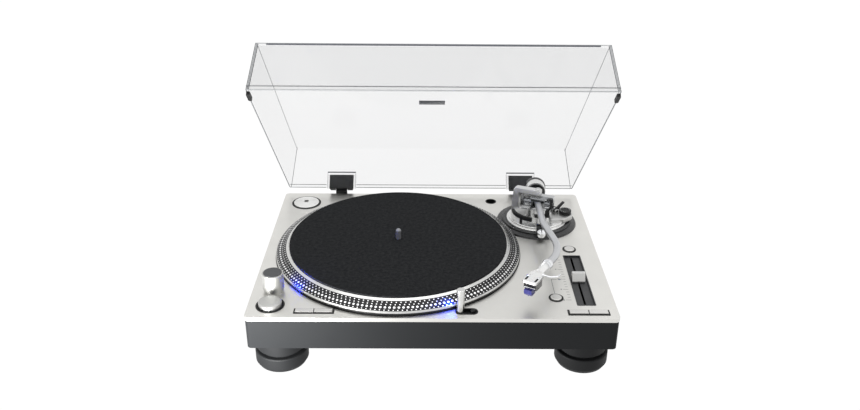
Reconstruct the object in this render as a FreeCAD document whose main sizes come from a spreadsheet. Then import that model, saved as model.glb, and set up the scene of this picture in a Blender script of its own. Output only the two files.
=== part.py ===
"""Direct drive turntable for mixing, as a parametric document.

The frame: origin on the floor under the middle of the whole outline with the cover open, X to the
right, Y to the rear, Z up. Places below are measured from the middle of the plinth, and heights named
"rise" from the face of the top panel. The cover stands open and the arm lies on its rest.
"""

import FreeCAD, Part
import math
import os
import Sketcher

Vector = FreeCAD.Vector
X_AXIS = (1, 0, 0)
Y_AXIS = (0, 1, 0)
Z_AXIS = (0, 0, 1)
DISC_TURN = 360.0

doc = FreeCAD.newDocument("Turntable")

# Every driving dimension, in millimetres and degrees, with what it measures.
SIZES = {
    "middle_back": (20.9, "middle of the whole outline behind the middle of the plinth"),
    # Plinth
    "plinth_width": (452, "top panel, left to right"),
    "plinth_depth": (346, "top panel, front to rear"),
    "panel_corner": (6, "plan corner radius of the top panel"),
    "panel_rise": (87.4, "face of the top panel above the floor"),
    "panel_thick": (5.2, "top panel, seen as the bright edge"),
    "housing_inset": (0.5, "lower housing behind the panel's edge"),
    "housing_bottom": (43, "underside of the lower housing above the floor"),
    "housing_wall": (4, "walls and floor of the lower housing"),
    "boss_radius": (5, "screw bosses inside the lower housing"),
    "screw_radius": (1.9, "shank of the housing screws"),
    "screw_head": (3.8, "head radius of the housing screws"),
    "screw_head_high": (1.6, "height of those heads"),
    "screw_bite": (2.6, "reach of those screws into the panel"),
    "screw_x": (211, "outer screw columns from the middle"),
    "screw_y": (70, "screw rows from the middle"),
    "seat_gap": (0.3, "gap between curved faces that move past each other"),
    "fit": (0.05, "radial running clearance of shafts"),
    "edge": (0.5, "broken edge of turned parts"),
    "liner_gap": (0.1, "gap round a liner set in the panel"),
    "flange": (1, "overlap of a liner's flange on the panel"),
    "flange_high": (0.4, "height of those flanges"),
    # Feet
    "foot_x": (190.5, "foot centres from the middle"),
    "foot_y": (133, "foot centres from the middle"),
    "foot_radius": (33.4, "lower ring of a foot"),
    "foot_sole": (30.5, "sole radius of a foot"),
    "foot_bevel": (5, "height of the bevel above the sole"),
    "foot_high": (20, "height of the lower ring"),
    "foot_neck": (27, "radius of the dark groove above it"),
    "foot_neck_top": (24, "top of that groove above the floor"),
    "collar_radius": (31, "collar over each foot"),
    "foot_stem": (8, "threaded stem of a foot"),
    "foot_stem_top": (40, "end of the stem above the floor"),
    # Platter
    "platter_x": (-45.4, "spindle from the middle of the plinth"),
    "platter_y": (-2.6, "spindle from the middle of the plinth"),
    "platter_radius": (166, "lower ring of the platter"),
    "platter_gap": (1.5, "platter above the panel"),
    "ring_high": (4.2, "top of the lower ring"),
    "band_low": (165.2, "foot of the dotted band"),
    "band_low_rise": (5.8, "its rise"),
    "band_top": (152, "head of the dotted band"),
    "band_top_rise": (12.9, "its rise"),
    "rim_radius": (151.6, "bright top ring, outside"),
    "rim_inner": (149, "bright top ring, inside"),
    "rim_rise": (14.6, "top of the bright ring, at its inner edge"),
    "rim_fall": (13.1, "outer edge of the bright ring"),
    "deck_rise": (14.1, "seat of the mat"),
    "deck_thick": (4, "platter's deck"),
    "skirt_inner": (151, "inside of the skirt at the deck"),
    "skirt_foot": (158, "inside of the skirt at its foot"),
    "hub_radius": (18, "platter's hub"),
    "rib_start": (66, "inner end of the ribs under the deck"),
    "rib_thick": (3, "rib thickness"),
    "rib_high": (4, "rib height under the deck"),
    "rib_count": (12, "ribs under the deck"),
    "shaft_radius": (5, "shaft in its bearing"),
    "shaft_foot": (51.3, "lower end of the shaft above the floor"),
    "pin_radius": (3.6, "spindle that centres a record"),
    "pin_rise": (31.3, "tip of the spindle"),
    "pin_neck": (3.3, "its neck inside the mat"),
    "pin_neck_over": (0.5, "neck standing out of the mat"),
    "pin_nose": (2.6, "rounded nose of the spindle"),
    "mat_radius": (147.8, "slipmat"),
    "mat_thick": (2, "slipmat felt"),
    # Motor and electronics
    "bearing_radius": (13, "bearing sleeve"),
    "bearing_flange": (25, "foot of the bearing sleeve"),
    "bearing_flange_high": (4, "its thickness"),
    "bearing_top": (82, "top of the sleeve above the floor"),
    "stator_inner": (30, "core of the stator, inside"),
    "stator_outer": (62, "core of the stator, outside"),
    "stator_core_top": (76, "top of the core above the floor"),
    "coil_inner": (34, "coils, inner radius"),
    "coil_outer": (61, "coils, outer radius"),
    "coil_wide": (13, "width of a coil"),
    "coil_core": (5, "window in a coil"),
    "coil_top_rise": (0.4, "top of the coils over the panel"),
    "coil_count": (12, "coils of the stator"),
    "stator_opening": (72, "opening in the panel over the stator"),
    "magnet_inner": (38, "magnet ring, inside"),
    "magnet_outer": (62, "magnet ring, outside"),
    "magnet_thick": (7, "magnet ring under the deck"),
    "board_width": (170, "main board"),
    "board_depth": (130, "main board"),
    "board_thick": (1.6, "main board"),
    "board_bottom": (66, "underside of the board above the floor"),
    "board_hole": (26, "hole in the board for the bearing"),
    "post_radius": (3.5, "posts under the board"),
    "post_inset": (6, "posts from the board's edges"),
    "part_size": (9, "parts on the board, across"),
    "part_high": (5, "parts on the board, height"),
    "part_pitch": (1.5, "their spacing as a share of their size"),
    "core_x": (-165, "transformer from the middle"),
    "core_y": (112, "transformer from the middle"),
    "core_width": (56, "transformer core"),
    "core_depth": (48, "transformer core"),
    "core_high": (20, "transformer core"),
    "winding_inset": (9, "winding inside the core's outline"),
    "winding_high": (30, "winding"),
    # Rear sockets
    "jack_x": (60, "middle of the audio panel"),
    "jack_width": (64, "opening of the audio panel"),
    "jack_high": (20, "height of that opening"),
    "jack_middle": (63, "middle of the sockets above the floor"),
    "jack_margin": (4, "audio panel behind the opening's edge"),
    "jack_plate": (2, "thickness of the audio panel"),
    "jack_pitch": (14, "between the two audio sockets"),
    "jack_radius": (4.15, "barrel of an audio socket"),
    "jack_bore": (1.65, "its centre hole"),
    "jack_long": (8.5, "its length"),
    "ground_x": (22, "ground post from the panel's middle"),
    "ground_radius": (4.5, "ground post's nut"),
    "switch_x": (-22, "level switch from the panel's middle"),
    "switch_wide": (5, "switch nib"),
    "switch_high": (4, "switch nib"),
    "switch_out": (2.5, "nib standing out"),
    "switch_travel": (4, "travel of the nib"),
    "inlet_x": (-60, "mains inlet from the middle"),
    "inlet_width": (30, "mains inlet"),
    "inlet_high": (21, "mains inlet"),
    "inlet_deep": (18, "mains inlet body"),
    "inlet_lobe": (4.6, "lobe radius of the inlet's mouth"),
    "inlet_pitch": (8.6, "between the two pins"),
    "inlet_mouth": (12, "depth of the mouth"),
    "inlet_pin": (1.2, "pin radius"),
    "inlet_pin_long": (9.5, "pin length"),
    # Cover hinge
    "hinge_y": (179.4, "hinge axis from the middle"),
    "hinge_rise": (7.1, "hinge axis over the panel"),
    "hinge_x": (139.7, "hinge centres from the middle"),
    "hinge_pin": (1.6, "hinge pin"),
    "knuckle_wide": (17, "knuckle of the bracket"),
    "knuckle_radius": (4.4, "knuckle of the bracket"),
    "bracket_drop": (43, "bracket below the hinge axis"),
    "bracket_front": (6.3, "bracket's front face before the axis"),
    "bracket_rear": (1.5, "bracket's rear face before the axis"),
    "bracket_top": (2.1, "bracket's front edge below the axis"),
    "leaf_wide": (36.5, "hinge leaf"),
    "leaf_front": (5.6, "leaf's front face before the axis"),
    "leaf_rear": (2.3, "leaf's rear face before the axis"),
    "leaf_bottom": (3.7, "leaf's lower edge below the axis"),
    "leaf_top": (16.7, "leaf's upper edge above the axis"),
    "leaf_notch": (18.8, "notch in the leaf for the knuckle"),
    "leaf_notch_top": (5.4, "top of that notch above the axis"),
    "lug_radius": (4.2, "lugs of the leaf"),
    "lug_wide": (7.8, "each lug"),
    # Dust cover, in its closed position about the hinge axis
    "cover_open": (44.3, "cover's angle when open"),
    "cover_width": (440, "rim of the cover"),
    "cover_depth": (346, "rim of the cover"),
    "cover_high": (65.4, "outer height of the cover"),
    "cover_back": (6.5, "rear rim before the hinge axis"),
    "cover_rim_drop": (2.7, "rim below the hinge axis"),
    "cover_wall": (3, "wall of the cover"),
    "draft_side": (6.1, "how far the sides lean in"),
    "draft_front": (6.3, "how far the front leans in"),
    "draft_rear": (3.1, "how far the rear leans in"),
    "cover_corner": (7, "plan corner radius of the cover"),
    "cover_round": (4, "rounding of the top edge"),
    "band_thick": (0.8, "thicker band round the rim"),
    "band_high": (6, "height of that band"),
    "sleeve_wide": (45.5, "hinge sleeve on the cover"),
    "sleeve_rear": (1, "sleeve's rear face before the axis"),
    "sleeve_high": (23, "sleeve's height"),
    "sleeve_wall": (1, "sleeve's walls"),
    "sleeve_notch": (35.4, "notch in the sleeve for the knuckle and the lugs"),
    "bumper_wide": (4.6, "rubber bumper"),
    "bumper_long": (18, "rubber bumper"),
    "bumper_front": (4, "bumper behind the front rim"),
    "bumper_high": (4.3, "rubber bumper"),
    # Left controls
    "start_x": (-198.3, "start button"),
    "start_y": (-145.4, "start button"),
    "start_ring": (17.8, "black recess round it"),
    "start_radius": (14.3, "start button"),
    "start_rise": (6.8, "its crown over the panel"),
    "start_edge": (5.2, "its edge over the panel"),
    "cup_wall": (1.2, "wall of the cups set in the panel"),
    "cup_deep": (5, "floor of the start recess under the panel"),
    "dial_x": (-199, "power dial"),
    "dial_y": (-112, "power dial"),
    "dial_radius": (13.3, "power dial"),
    "dial_low": (5.3, "its lower edge over the panel"),
    "dial_rise": (27, "its top over the panel"),
    "dial_cap_radius": (11.6, "dark cap of the dial"),
    "dial_cap_high": (0.8, "cap standing out"),
    "collar_r": (12, "strobe housing under the dial"),
    "collar_rise": (5, "its top"),
    "spigot_radius": (6, "spigots through the panel"),
    "spigot_deep": (12, "their reach under the panel"),
    "lens_radius": (2, "strobe lens"),
    "lens_long": (4, "strobe lens"),
    "lens_rise": (2.5, "its axis over the panel"),
    "lens_angle": (35, "its aim from +X"),
    "keys_left": (-168, "left keys' surround, left end"),
    "keys_right": (-118.7, "left keys' surround, right end"),
    "keys_front": (-163.8, "left keys' surround, front"),
    "keys_rear": (-152.9, "left keys' surround, rear"),
    "pair_left": (164, "right keys' surround, left end"),
    "pair_right": (215, "right keys' surround, right end"),
    "pair_front": (-165.2, "right keys' surround, front"),
    "pair_rear": (-153.5, "right keys' surround, rear"),
    "key_gap": (0.8, "gap between keys and their surround"),
    "key_rise": (2, "keys over the panel"),
    "key_low": (3.4, "underside of the keys under the panel"),
    "key_stem": (3, "stem radius of keys and buttons"),
    "button_ring": (9.3, "black ring of a round button"),
    "button_radius": (7, "round button"),
    "button_rise": (1.6, "its crown over the panel"),
    "reset_x": (154.3, "lower round button"),
    "reset_y": (-126.5, "lower round button"),
    "quartz_x": (189.5, "upper round button"),
    "quartz_y": (-2.4, "upper round button"),
    # Pitch fader
    "tray_left": (178, "fader recess"),
    "tray_right": (201.5, "fader recess"),
    "tray_front": (-143.5, "fader recess"),
    "tray_rear": (-19.8, "fader recess"),
    "tray_deep": (2, "floor of the recess under the panel"),
    "slot_x": (188.8, "fader slot"),
    "slot_front": (-140.7, "fader slot"),
    "slot_rear": (-24, "fader slot"),
    "slot_half": (1.4, "half width of the slot"),
    "fader_y": (-82, "fader at its middle"),
    "fader_wide": (16.5, "fader knob"),
    "fader_long": (13, "fader knob"),
    "fader_rise": (11, "top of the knob"),
    "fader_low": (1.2, "knob's underside under the panel"),
    "fader_crown": (5, "flat top of the knob, front to rear"),
    "fader_stem": (5, "stem length along the slot"),
    "fader_drop": (12, "stem under the panel"),
    "led_x": (183, "fader lamp"),
    "led_y": (-68, "fader lamp"),
    "led_radius": (1, "fader lamp"),
    # Target lamp
    "lamp_x": (34, "target lamp"),
    "lamp_y": (-157.6, "target lamp"),
    "lamp_radius": (4.6, "lamp tube"),
    "lamp_cap": (5.1, "lamp head"),
    "lamp_cap_low": (24.5, "underside of the head"),
    "lamp_rise": (31, "top of the lamp"),
    "lamp_foot": (9, "tube's lower end under the panel"),
    "lamp_window": (1.6, "lens radius in the lamp head"),
    "lamp_window_rise": (27.6, "its axis over the panel"),
    "lamp_aim": (125, "its aim from +X"),
    "lamp_end": (6.8, "end radius of the lamp's recess"),
    "lamp_tray_end": (48.8, "right end centre of that recess"),
    "lamp_tray_deep": (3.4, "depth of that recess"),
    "release_x": (49.2, "release button of the lamp"),
    "release_radius": (3, "release button"),
    "release_rise": (3.4, "its crown"),
    "release_dome": (1.6, "height of its domed top"),
    # Adaptor and socket
    "adaptor_x": (-190, "record adaptor"),
    "adaptor_y": (139.5, "record adaptor"),
    "adaptor_ring": (21.9, "recess of the adaptor"),
    "adaptor_radius": (18.9, "record adaptor"),
    "adaptor_hole": (3.65, "hole of the adaptor"),
    "adaptor_rise": (3, "adaptor's crown over the panel"),
    "adaptor_deep": (4.5, "depth of its recess"),
    "socket_x": (91.7, "spare headshell socket"),
    "socket_y": (147.2, "spare headshell socket"),
    "socket_ring": (8.2, "socket's ring"),
    "socket_bore": (7, "socket's bore"),
    "socket_deep": (24, "socket's depth"),
    # Tonearm base, about the arm's pivot
    "arm_x": (153.6, "arm pivot from the middle"),
    "arm_y": (82, "arm pivot from the middle"),
    "mount_radius": (57.7, "black ring on the panel"),
    "mount_shoulder": (56.6, "its shoulder"),
    "mount_shoulder_rise": (2.2, "its shoulder"),
    "mount_inner": (49.8, "its inner edge"),
    "mount_rise": (3.6, "its inner edge"),
    "mount_floor": (2.5, "its floor under the panel"),
    "mount_wall": (1.6, "its wall down through the panel"),
    "well_gap": (1.2, "gap between the platter and the ring where it passes over"),
    "well_floor": (0.6, "ring left under the platter's edge"),
    "sleeve_radius": (24, "guide sleeve under the floor"),
    "sleeve_deep": (24, "lower end of the guide sleeve"),
    "column_radius": (19, "column of the arm base"),
    "column_deep": (26, "lower end of the column"),
    "ring_outer": (49.4, "height ring"),
    "ring_inner": (43.6, "height ring"),
    "ring_rise": (5.5, "height ring"),
    "base_radius": (43.3, "arm base"),
    "base_rise": (7, "its first step"),
    "step_radius": (40.5, "its second step"),
    "step_rise": (10, "its top"),
    "post_r": (9, "bearing post on the arm base"),
    "lock_front": (53, "lock lug before the pivot"),
    "lock_foot": (55, "lug's foot before the pivot"),
    "lock_rear": (46, "lug's rear face before the pivot"),
    "lock_rise": (19, "top of the lug"),
    "lock_wide": (12, "lug"),
    "lock_axis_rise": (10.6, "lock knob's axis"),
    "lock_knob": (6.3, "lock knob"),
    "lock_knob_long": (11, "lock knob"),
    "lock_stem": (2, "lock knob's screw"),
    "lock_reach": (5, "its reach into the lug"),
    # Gimbal
    "gimbal_angle": (22, "gimbal plane, turned clockwise from +X"),
    "pivot_rise": (31, "lift axis over the panel"),
    "bracket_half": (5, "half thickness of the bearing bracket"),
    "bracket_foot": (37.5, "bracket's foot from the pivot"),
    "bracket_head": (35, "bracket's shoulder from the pivot"),
    "bracket_bevel": (3, "bevel at the shoulder"),
    "bracket_inner": (27, "inside of the bracket's column"),
    "bracket_reach": (4.5, "bracket's top bar past the pivot"),
    "bracket_rise": (50.5, "top of the bracket"),
    "bracket_bar": (6.5, "its top bar"),
    "bracket_toe": (14, "inner end of its foot"),
    "bracket_foot_rise": (19, "top of its foot"),
    "screw_r": (2.2, "pivot screw"),
    "screw_cap": (4, "pivot screw's head"),
    "screw_cap_high": (2.2, "pivot screw's head"),
    "screw_tip": (1.6, "screw's point over the inside of the gimbal frame"),
    "frame_half": (24, "half width of the gimbal frame"),
    "frame_depth": (4.5, "half depth of the gimbal frame"),
    "frame_low": (20.6, "gimbal frame's underside"),
    "frame_rise": (43.6, "gimbal frame's top"),
    "frame_bar": (4.4, "bars of the frame"),
    "frame_round": (1.5, "corners of the frame"),
    "spigot_r": (3, "lower vertical pivot"),
    "spigot_rise": (24.6, "its end"),
    "pin_r": (2.4, "lift shaft"),
    "block_half": (10, "half width of the arm housing"),
    "block_front": (9.5, "arm housing before and behind the pivot"),
    "block_high": (4.9, "half height of the arm housing"),
    "block_round": (1.5, "rounding of its corners"),
    "drum_radius": (4.6, "bearing drums beside the housing"),
    "drum_gap": (0.7, "drums short of the gimbal frame, and the shaft of its outside"),
    # Tonearm, along the arm
    "arm_tilt": (1.25, "tube's rise while it lies on its rest"),
    "tube_radius": (4.7, "arm tube"),
    "tube_wall": (0.9, "arm tube"),
    "tube_bend": (80, "bend radius of the tube"),
    "bend_one_y": (-68, "first bend before the pivot"),
    "bend_two_x": (13.2, "second bend beside the pivot"),
    "bend_two_y": (-147.7, "second bend before the pivot"),
    "offset_angle": (31, "headshell's line, clockwise from the front"),
    "nut_x": (-10.7, "locking nut beside the pivot"),
    "nut_y": (-187.5, "locking nut before the pivot"),
    "nut_half": (5.2, "half length of the locking nut"),
    "nut_radius": (6.8, "locking nut"),
    "nut_ring": (7.3, "raised band on the nut"),
    "rear_angle": (3.4, "rear shaft, turned from straight back"),
    "shaft_r": (4.6, "rear shaft"),
    "shaft_start": (8, "rear shaft's start behind the pivot"),
    "shaft_end": (55, "rear shaft's end"),
    "weight_start": (38.2, "counterweight's front"),
    "weight_end": (53, "counterweight's rear"),
    "weight_radius": (14.3, "counterweight"),
    "weight_recess": (9, "recess in its front"),
    "ring_start": (34, "force ring's front"),
    "ring_r": (13.4, "force ring"),
    "cap_end": (57, "rear cap's end"),
    "cap_radius": (15.2, "rear cap"),
    # Headshell, forward of the nut's middle
    "shell_start": (22, "headshell plate's start"),
    "shell_front": (53, "headshell's front edge"),
    "shell_wide_rear": (12.5, "plate's width at its start"),
    "shell_wide": (18.5, "plate's width"),
    "shell_taper": (30, "where the plate is full width"),
    "shell_top": (2.2, "plate's top over the tube's axis"),
    "shell_thick": (3.2, "plate"),
    "neck_radius": (5.2, "headshell's neck"),
    "neck_lap": (3, "neck's lap on the plate"),
    "slot_start": (37.5, "mounting slots' start"),
    "slot_end": (49, "mounting slots' end"),
    "slot_lat": (6.35, "slots beside the middle line"),
    "slot_r": (1.3, "half width of the slots"),
    "shell_screw": (2.1, "heads of the cartridge screws"),
    "shell_screw_high": (1.4, "height of those heads"),
    "cart_start": (31, "cartridge's rear face"),
    "cart_end": (49.5, "cartridge's front face"),
    "cart_wide": (16, "cartridge"),
    "cart_high": (11, "cartridge"),
    "cart_nose": (3, "bevel under the cartridge's front"),
    "stylus_start": (43, "stylus holder's rear"),
    "stylus_end": (55, "stylus holder's nose"),
    "stylus_wide": (10, "stylus holder"),
    "stylus_drop": (16.6, "stylus holder's underside under the axis"),
    "needle_s": (52, "needle's place"),
    "needle_drop": (18.1, "needle's tip under the axis"),
    "needle_r": (0.5, "needle's root"),
    "finger_r": (1.1, "finger lift"),
    "finger_s": (31, "finger lift's root"),
    "finger_reach": (25.5, "finger lift's tip beside the middle line"),
    "finger_tip": (19, "finger lift's tip along the headshell"),
    # Arm rest, clip, cueing and anti-skating
    "lift_inner": (33.4, "lift bar, inside"),
    "lift_outer": (36.6, "lift bar, outside"),
    "lift_low": (16.4, "lift bar's underside"),
    "lift_rise": (22, "lift bar's top"),
    "lift_from": (184, "lift bar's left end, angle about the pivot"),
    "lift_to": (252, "lift bar's right end"),
    "lift_rod_angle": (223.8, "lift rod's place about the pivot"),
    "lift_rod": (2, "lift rod"),
    "rest_x": (7, "arm rest's post beside the pivot"),
    "rest_y": (-33.5, "arm rest's post before the pivot"),
    "rest_post": (2.6, "arm rest's post"),
    "rest_half": (3, "half length of the cradle along the tube"),
    "rest_left": (-7.6, "cradle's left end beside the pivot"),
    "rest_right": (13, "cradle's right face"),
    "rest_wall": (7.2, "cradle's right wall, inner face"),
    "rest_low": (24, "cradle's underside"),
    "rest_seat": (26.7, "cradle's seat under the tube"),
    "rest_rise": (32.5, "top of its right wall"),
    "clip_thick": (2, "clip"),
    "clip_long": (17.5, "clip"),
    "clip_hook": (2, "clip's hook past its axis"),
    "clip_arch": (3.2, "clip's arm beside its axis, so that it clears the tube when closed"),
    "clip_pin": (0.8, "clip's pin"),
    "clip_ear": (1.5, "half width of the ears that carry that pin"),
    "clip_wall": (1.2, "thickness of those ears"),
    "dial_rel_x": (41.5, "anti-skating dial beside the pivot"),
    "dial_rel_y": (0.3, "anti-skating dial behind the pivot"),
    "skate_radius": (8.9, "anti-skating dial"),
    "skate_low": (14.4, "its underside"),
    "skate_rise": (18.6, "its top"),
    "skate_left": (17.5, "anti-skating housing's left face"),
    "skate_right": (51.8, "its right face"),
    "skate_front": (-20.5, "its front face"),
    "skate_back": (12, "its rear face"),
    "skate_slant": (14, "its slanted front right corner"),
    "skate_round": (8, "rounding of its corners"),
    "skate_top": (14, "its top"),
    "skate_skirt": (7.4, "its overhanging skirt's underside"),
    "lever_x": (26.8, "cue lever's pivot beside the arm's"),
    "lever_y": (0.2, "cue lever's pivot behind the arm's"),
    "lever_rise": (17.5, "its axis"),
    "lever_long": (19.5, "cue lever"),
    "lever_wide": (3.6, "cue lever"),
    "lever_angle": (39, "its direction from +X"),
    "lever_slope": (27, "its slope at rest"),
    "lever_pin": (1.5, "its pin"),
    "cheek": (2, "cheeks that carry the lever's pin"),
    "cheek_half": (3, "half length of those cheeks"),
    "cheek_over": (2.4, "cheeks over the lever's axis"),
}


class Size:
    """A dimension: its value, and the words by which the document works it out."""

    def __init__(self, value, words):
        self.value = float(value)
        self.words = words

    def __add__(self, other):
        other = sized(other)
        return Size(self.value + other.value, f"({self.words} + {other.words})")

    def __sub__(self, other):
        other = sized(other)
        return Size(self.value - other.value, f"({self.words} - {other.words})")

    def __mul__(self, other):
        other = sized(other)
        return Size(self.value * other.value, f"({self.words} * {other.words})")

    def __truediv__(self, other):
        other = sized(other)
        return Size(self.value / other.value, f"({self.words} / {other.words})")

    def __radd__(self, other):
        return sized(other) + self

    def __rsub__(self, other):
        return sized(other) - self

    def __rmul__(self, other):
        return sized(other) * self

    def __neg__(self):
        return sized(0) - self


def sized(number):
    """A plain number as a Size."""
    if isinstance(number, Size):
        return number
    return Size(number, f"({number:.9g})")


def cosine(angle):
    angle = sized(angle)
    return Size(math.cos(math.radians(angle.value)), f"cos({angle.words})")


def sine(angle):
    angle = sized(angle)
    return Size(math.sin(math.radians(angle.value)), f"sin({angle.words})")


class Sheet:
    """The spreadsheet; each of its dimensions is read as an attribute."""

    def __init__(self, sizes):
        cells = doc.addObject("Spreadsheet::Sheet", "Sizes")
        self.sizes = sizes
        for row, (alias, (number, note)) in enumerate(sizes.items(), 1):
            cells.set(f"A{row}", alias)
            cells.set(f"B{row}", str(number))
            cells.setAlias(f"B{row}", alias)
            cells.set(f"C{row}", note)
        doc.recompute()

    def __getattr__(self, alias):
        return Size(self.sizes[alias][0], f"Sizes.{alias}")


class Frame:
    """A place and a turn, kept as a value and as words for the document."""

    def __init__(self, value, words):
        self.value = value
        self.words = words

    def __mul__(self, other):
        return Frame(self.value * other.value, f"{self.words} * {other.words}")


def frame(x=0, y=0, z=0, axis=Z_AXIS, angle=0):
    """A frame at x, y, z, turned by angle about axis."""
    place = [sized(v) for v in (x, y, z)]
    about = [sized(v) for v in axis]
    angle = sized(angle)
    value = FreeCAD.Placement(
        Vector(*[v.value for v in place]),
        FreeCAD.Rotation(Vector(*[v.value for v in about]), angle.value),
    )
    at = "; ".join(v.words for v in place)
    line = "; ".join(v.words for v in about)
    return Frame(value, f"placement(vector({at}); rotation(vector({line}); {angle.words}))")


def pin(sketch, name, *where):
    """Add a dimension to a sketch and bind it to its Size, the last item of where."""
    size = sized(where[-1])
    index = sketch.addConstraint(Sketcher.Constraint(name, *where[:-1], size.value))
    sketch.setExpression(f"Constraints[{index}]", size.words)


def pin_point(sketch, item, spot, x, y):
    """Hold a sketch point at x and y from the sketch's origin."""
    pin(sketch, "DistanceX", -1, 1, item, spot, x)
    pin(sketch, "DistanceY", -1, 1, item, spot, y)


def circle(x, y, radius):
    """A circle, as something that draws itself in a sketch."""

    def draw(sketch):
        middle = Vector(sized(x).value, sized(y).value, 0)
        round_edge = Part.Circle(middle, Vector(0, 0, 1), sized(radius).value)
        item = sketch.addGeometry(round_edge, False)
        pin_point(sketch, item, 3, x, y)
        pin(sketch, "Radius", item, radius)

    return draw


def oblong(x1, y1, x2, y2, radius):
    """A slot with round ends about the points x1, y1 and x2, y2."""

    def draw(sketch):
        first = Vector(sized(x1).value, sized(y1).value, 0)
        second = Vector(sized(x2).value, sized(y2).value, 0)
        reach = sized(radius).value
        along = (second - first).normalize()
        side = Vector(-along.y, along.x, 0) * reach
        start = math.atan2(side.y, side.x)
        up = Vector(0, 0, 1)
        cap = Part.ArcOfCircle(Part.Circle(first, up, reach), start, start + math.pi)
        one = sketch.addGeometry(cap, False)
        cap = Part.ArcOfCircle(Part.Circle(second, up, reach), start - math.pi, start)
        two = sketch.addGeometry(cap, False)
        low = sketch.addGeometry(Part.LineSegment(first - side, second - side), False)
        high = sketch.addGeometry(Part.LineSegment(second + side, first + side), False)
        for pair in ((one, 2, low, 1), (low, 2, two, 1), (two, 2, high, 1), (high, 2, one, 1)):
            sketch.addConstraint(Sketcher.Constraint("Tangent", *pair))
        sketch.addConstraint(Sketcher.Constraint("Equal", one, two))
        pin_point(sketch, one, 3, x1, y1)
        pin_point(sketch, two, 3, x2, y2)
        pin(sketch, "Radius", one, radius)

    return draw


def corner_of(before, here, after, radius):
    """Where the rounding of a corner starts and ends, and its centre."""
    back = (before - here).normalize()
    on = (after - here).normalize()
    half = back.getAngle(on) / 2
    run = radius / math.tan(half)
    centre = here + (back + on).normalize() * (radius / math.sin(half))
    return here + back * run, here + on * run, centre


def polygon(points, closed=True):
    """Straight runs through points; a point's third number rounds its corner."""

    def draw(sketch):
        spots = [Vector(sized(p[0]).value, sized(p[1]).value, 0) for p in points]
        rounds = [sized(p[2]) if len(p) > 2 else None for p in points]
        count = len(points)
        ends = []
        for i, spot in enumerate(spots):
            if rounds[i]:
                after = spots[(i + 1) % count]
                ends.append(corner_of(spots[i - 1], spot, after, rounds[i].value))
            else:
                ends.append((spot, spot, None))
        runs = count if closed else count - 1
        lines = []
        for i in range(runs):
            line = Part.LineSegment(ends[i][1], ends[(i + 1) % count][0])
            lines.append(sketch.addGeometry(line, False))
        for i in range(count):
            first = not closed and i == 0
            last = not closed and i == count - 1
            if first:
                pin_point(sketch, lines[0], 1, points[i][0], points[i][1])
            elif last:
                pin_point(sketch, lines[-1], 2, points[i][0], points[i][1])
            elif rounds[i]:
                round_corner(sketch, lines[i - 1], lines[i], ends[i], points[i])
            else:
                joint = Sketcher.Constraint("Coincident", lines[i - 1], 2, lines[i], 1)
                sketch.addConstraint(joint)
                pin_point(sketch, lines[i], 1, points[i][0], points[i][1])

    return draw


def round_corner(sketch, before, after, end, point):
    """Round one corner between two lines, with its sharp point kept as a guide."""
    start, stop, centre = end
    x, y, radius = point
    first = math.atan2(start.y - centre.y, start.x - centre.x)
    second = math.atan2(stop.y - centre.y, stop.x - centre.x)
    forward = (second - first) % (2 * math.pi) < math.pi
    whole = Part.Circle(centre, Vector(0, 0, 1), sized(radius).value)
    span = (first, second) if forward else (second, first)
    arc = sketch.addGeometry(Part.ArcOfCircle(whole, *span), False)
    near, far = (1, 2) if forward else (2, 1)
    sketch.addConstraint(Sketcher.Constraint("Tangent", before, 2, arc, near))
    sketch.addConstraint(Sketcher.Constraint("Tangent", arc, far, after, 1))
    here = Vector(sized(x).value, sized(y).value, 0)
    guide = sketch.addGeometry(Part.Point(here), True)
    sketch.addConstraint(Sketcher.Constraint("PointOnObject", guide, 1, before))
    sketch.addConstraint(Sketcher.Constraint("PointOnObject", guide, 1, after))
    pin_point(sketch, guide, 1, x, y)
    pin(sketch, "Radius", arc, radius)


def sector(inner, outer, start, stop):
    """A piece of a flat ring between two angles about the sketch's origin."""

    def draw(sketch):
        radii = [sized(outer), sized(inner)]
        turns = [math.radians(sized(a).value) for a in (start, stop)]
        up = Vector(0, 0, 1)
        arcs = []
        for radius in radii:
            whole = Part.Circle(Vector(0, 0, 0), up, radius.value)
            arcs.append(sketch.addGeometry(Part.ArcOfCircle(whole, *turns), False))
            sketch.addConstraint(Sketcher.Constraint("Coincident", arcs[-1], 3, -1, 1))
            pin(sketch, "Radius", arcs[-1], radius)
        for spot, angle in ((1, sized(start)), (2, sized(stop))):
            near = [Vector(math.cos(turns[spot - 1]), math.sin(turns[spot - 1]), 0) * r.value for r in radii]
            line = sketch.addGeometry(Part.LineSegment(*near), False)
            sketch.addConstraint(Sketcher.Constraint("Coincident", line, 1, arcs[0], spot))
            sketch.addConstraint(Sketcher.Constraint("Coincident", line, 2, arcs[1], spot))
            across = Size(near[0].x, f"({sized(outer).words} * cos({angle.words}))")
            rise = Size(near[1].y, f"({sized(inner).words} * sin({angle.words}))")
            pin(sketch, "DistanceX", -1, 1, arcs[0], spot, across)
            pin(sketch, "DistanceY", -1, 1, arcs[1], spot, rise)

    return draw


def box(x1, y1, x2, y2, rounding=None):
    """A rectangle from corner to corner."""
    corners = [(x1, y1), (x2, y1), (x2, y2), (x1, y2)]
    if rounding is not None:
        corners = [(x, y, rounding) for x, y in corners]
    return polygon(corners)


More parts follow.
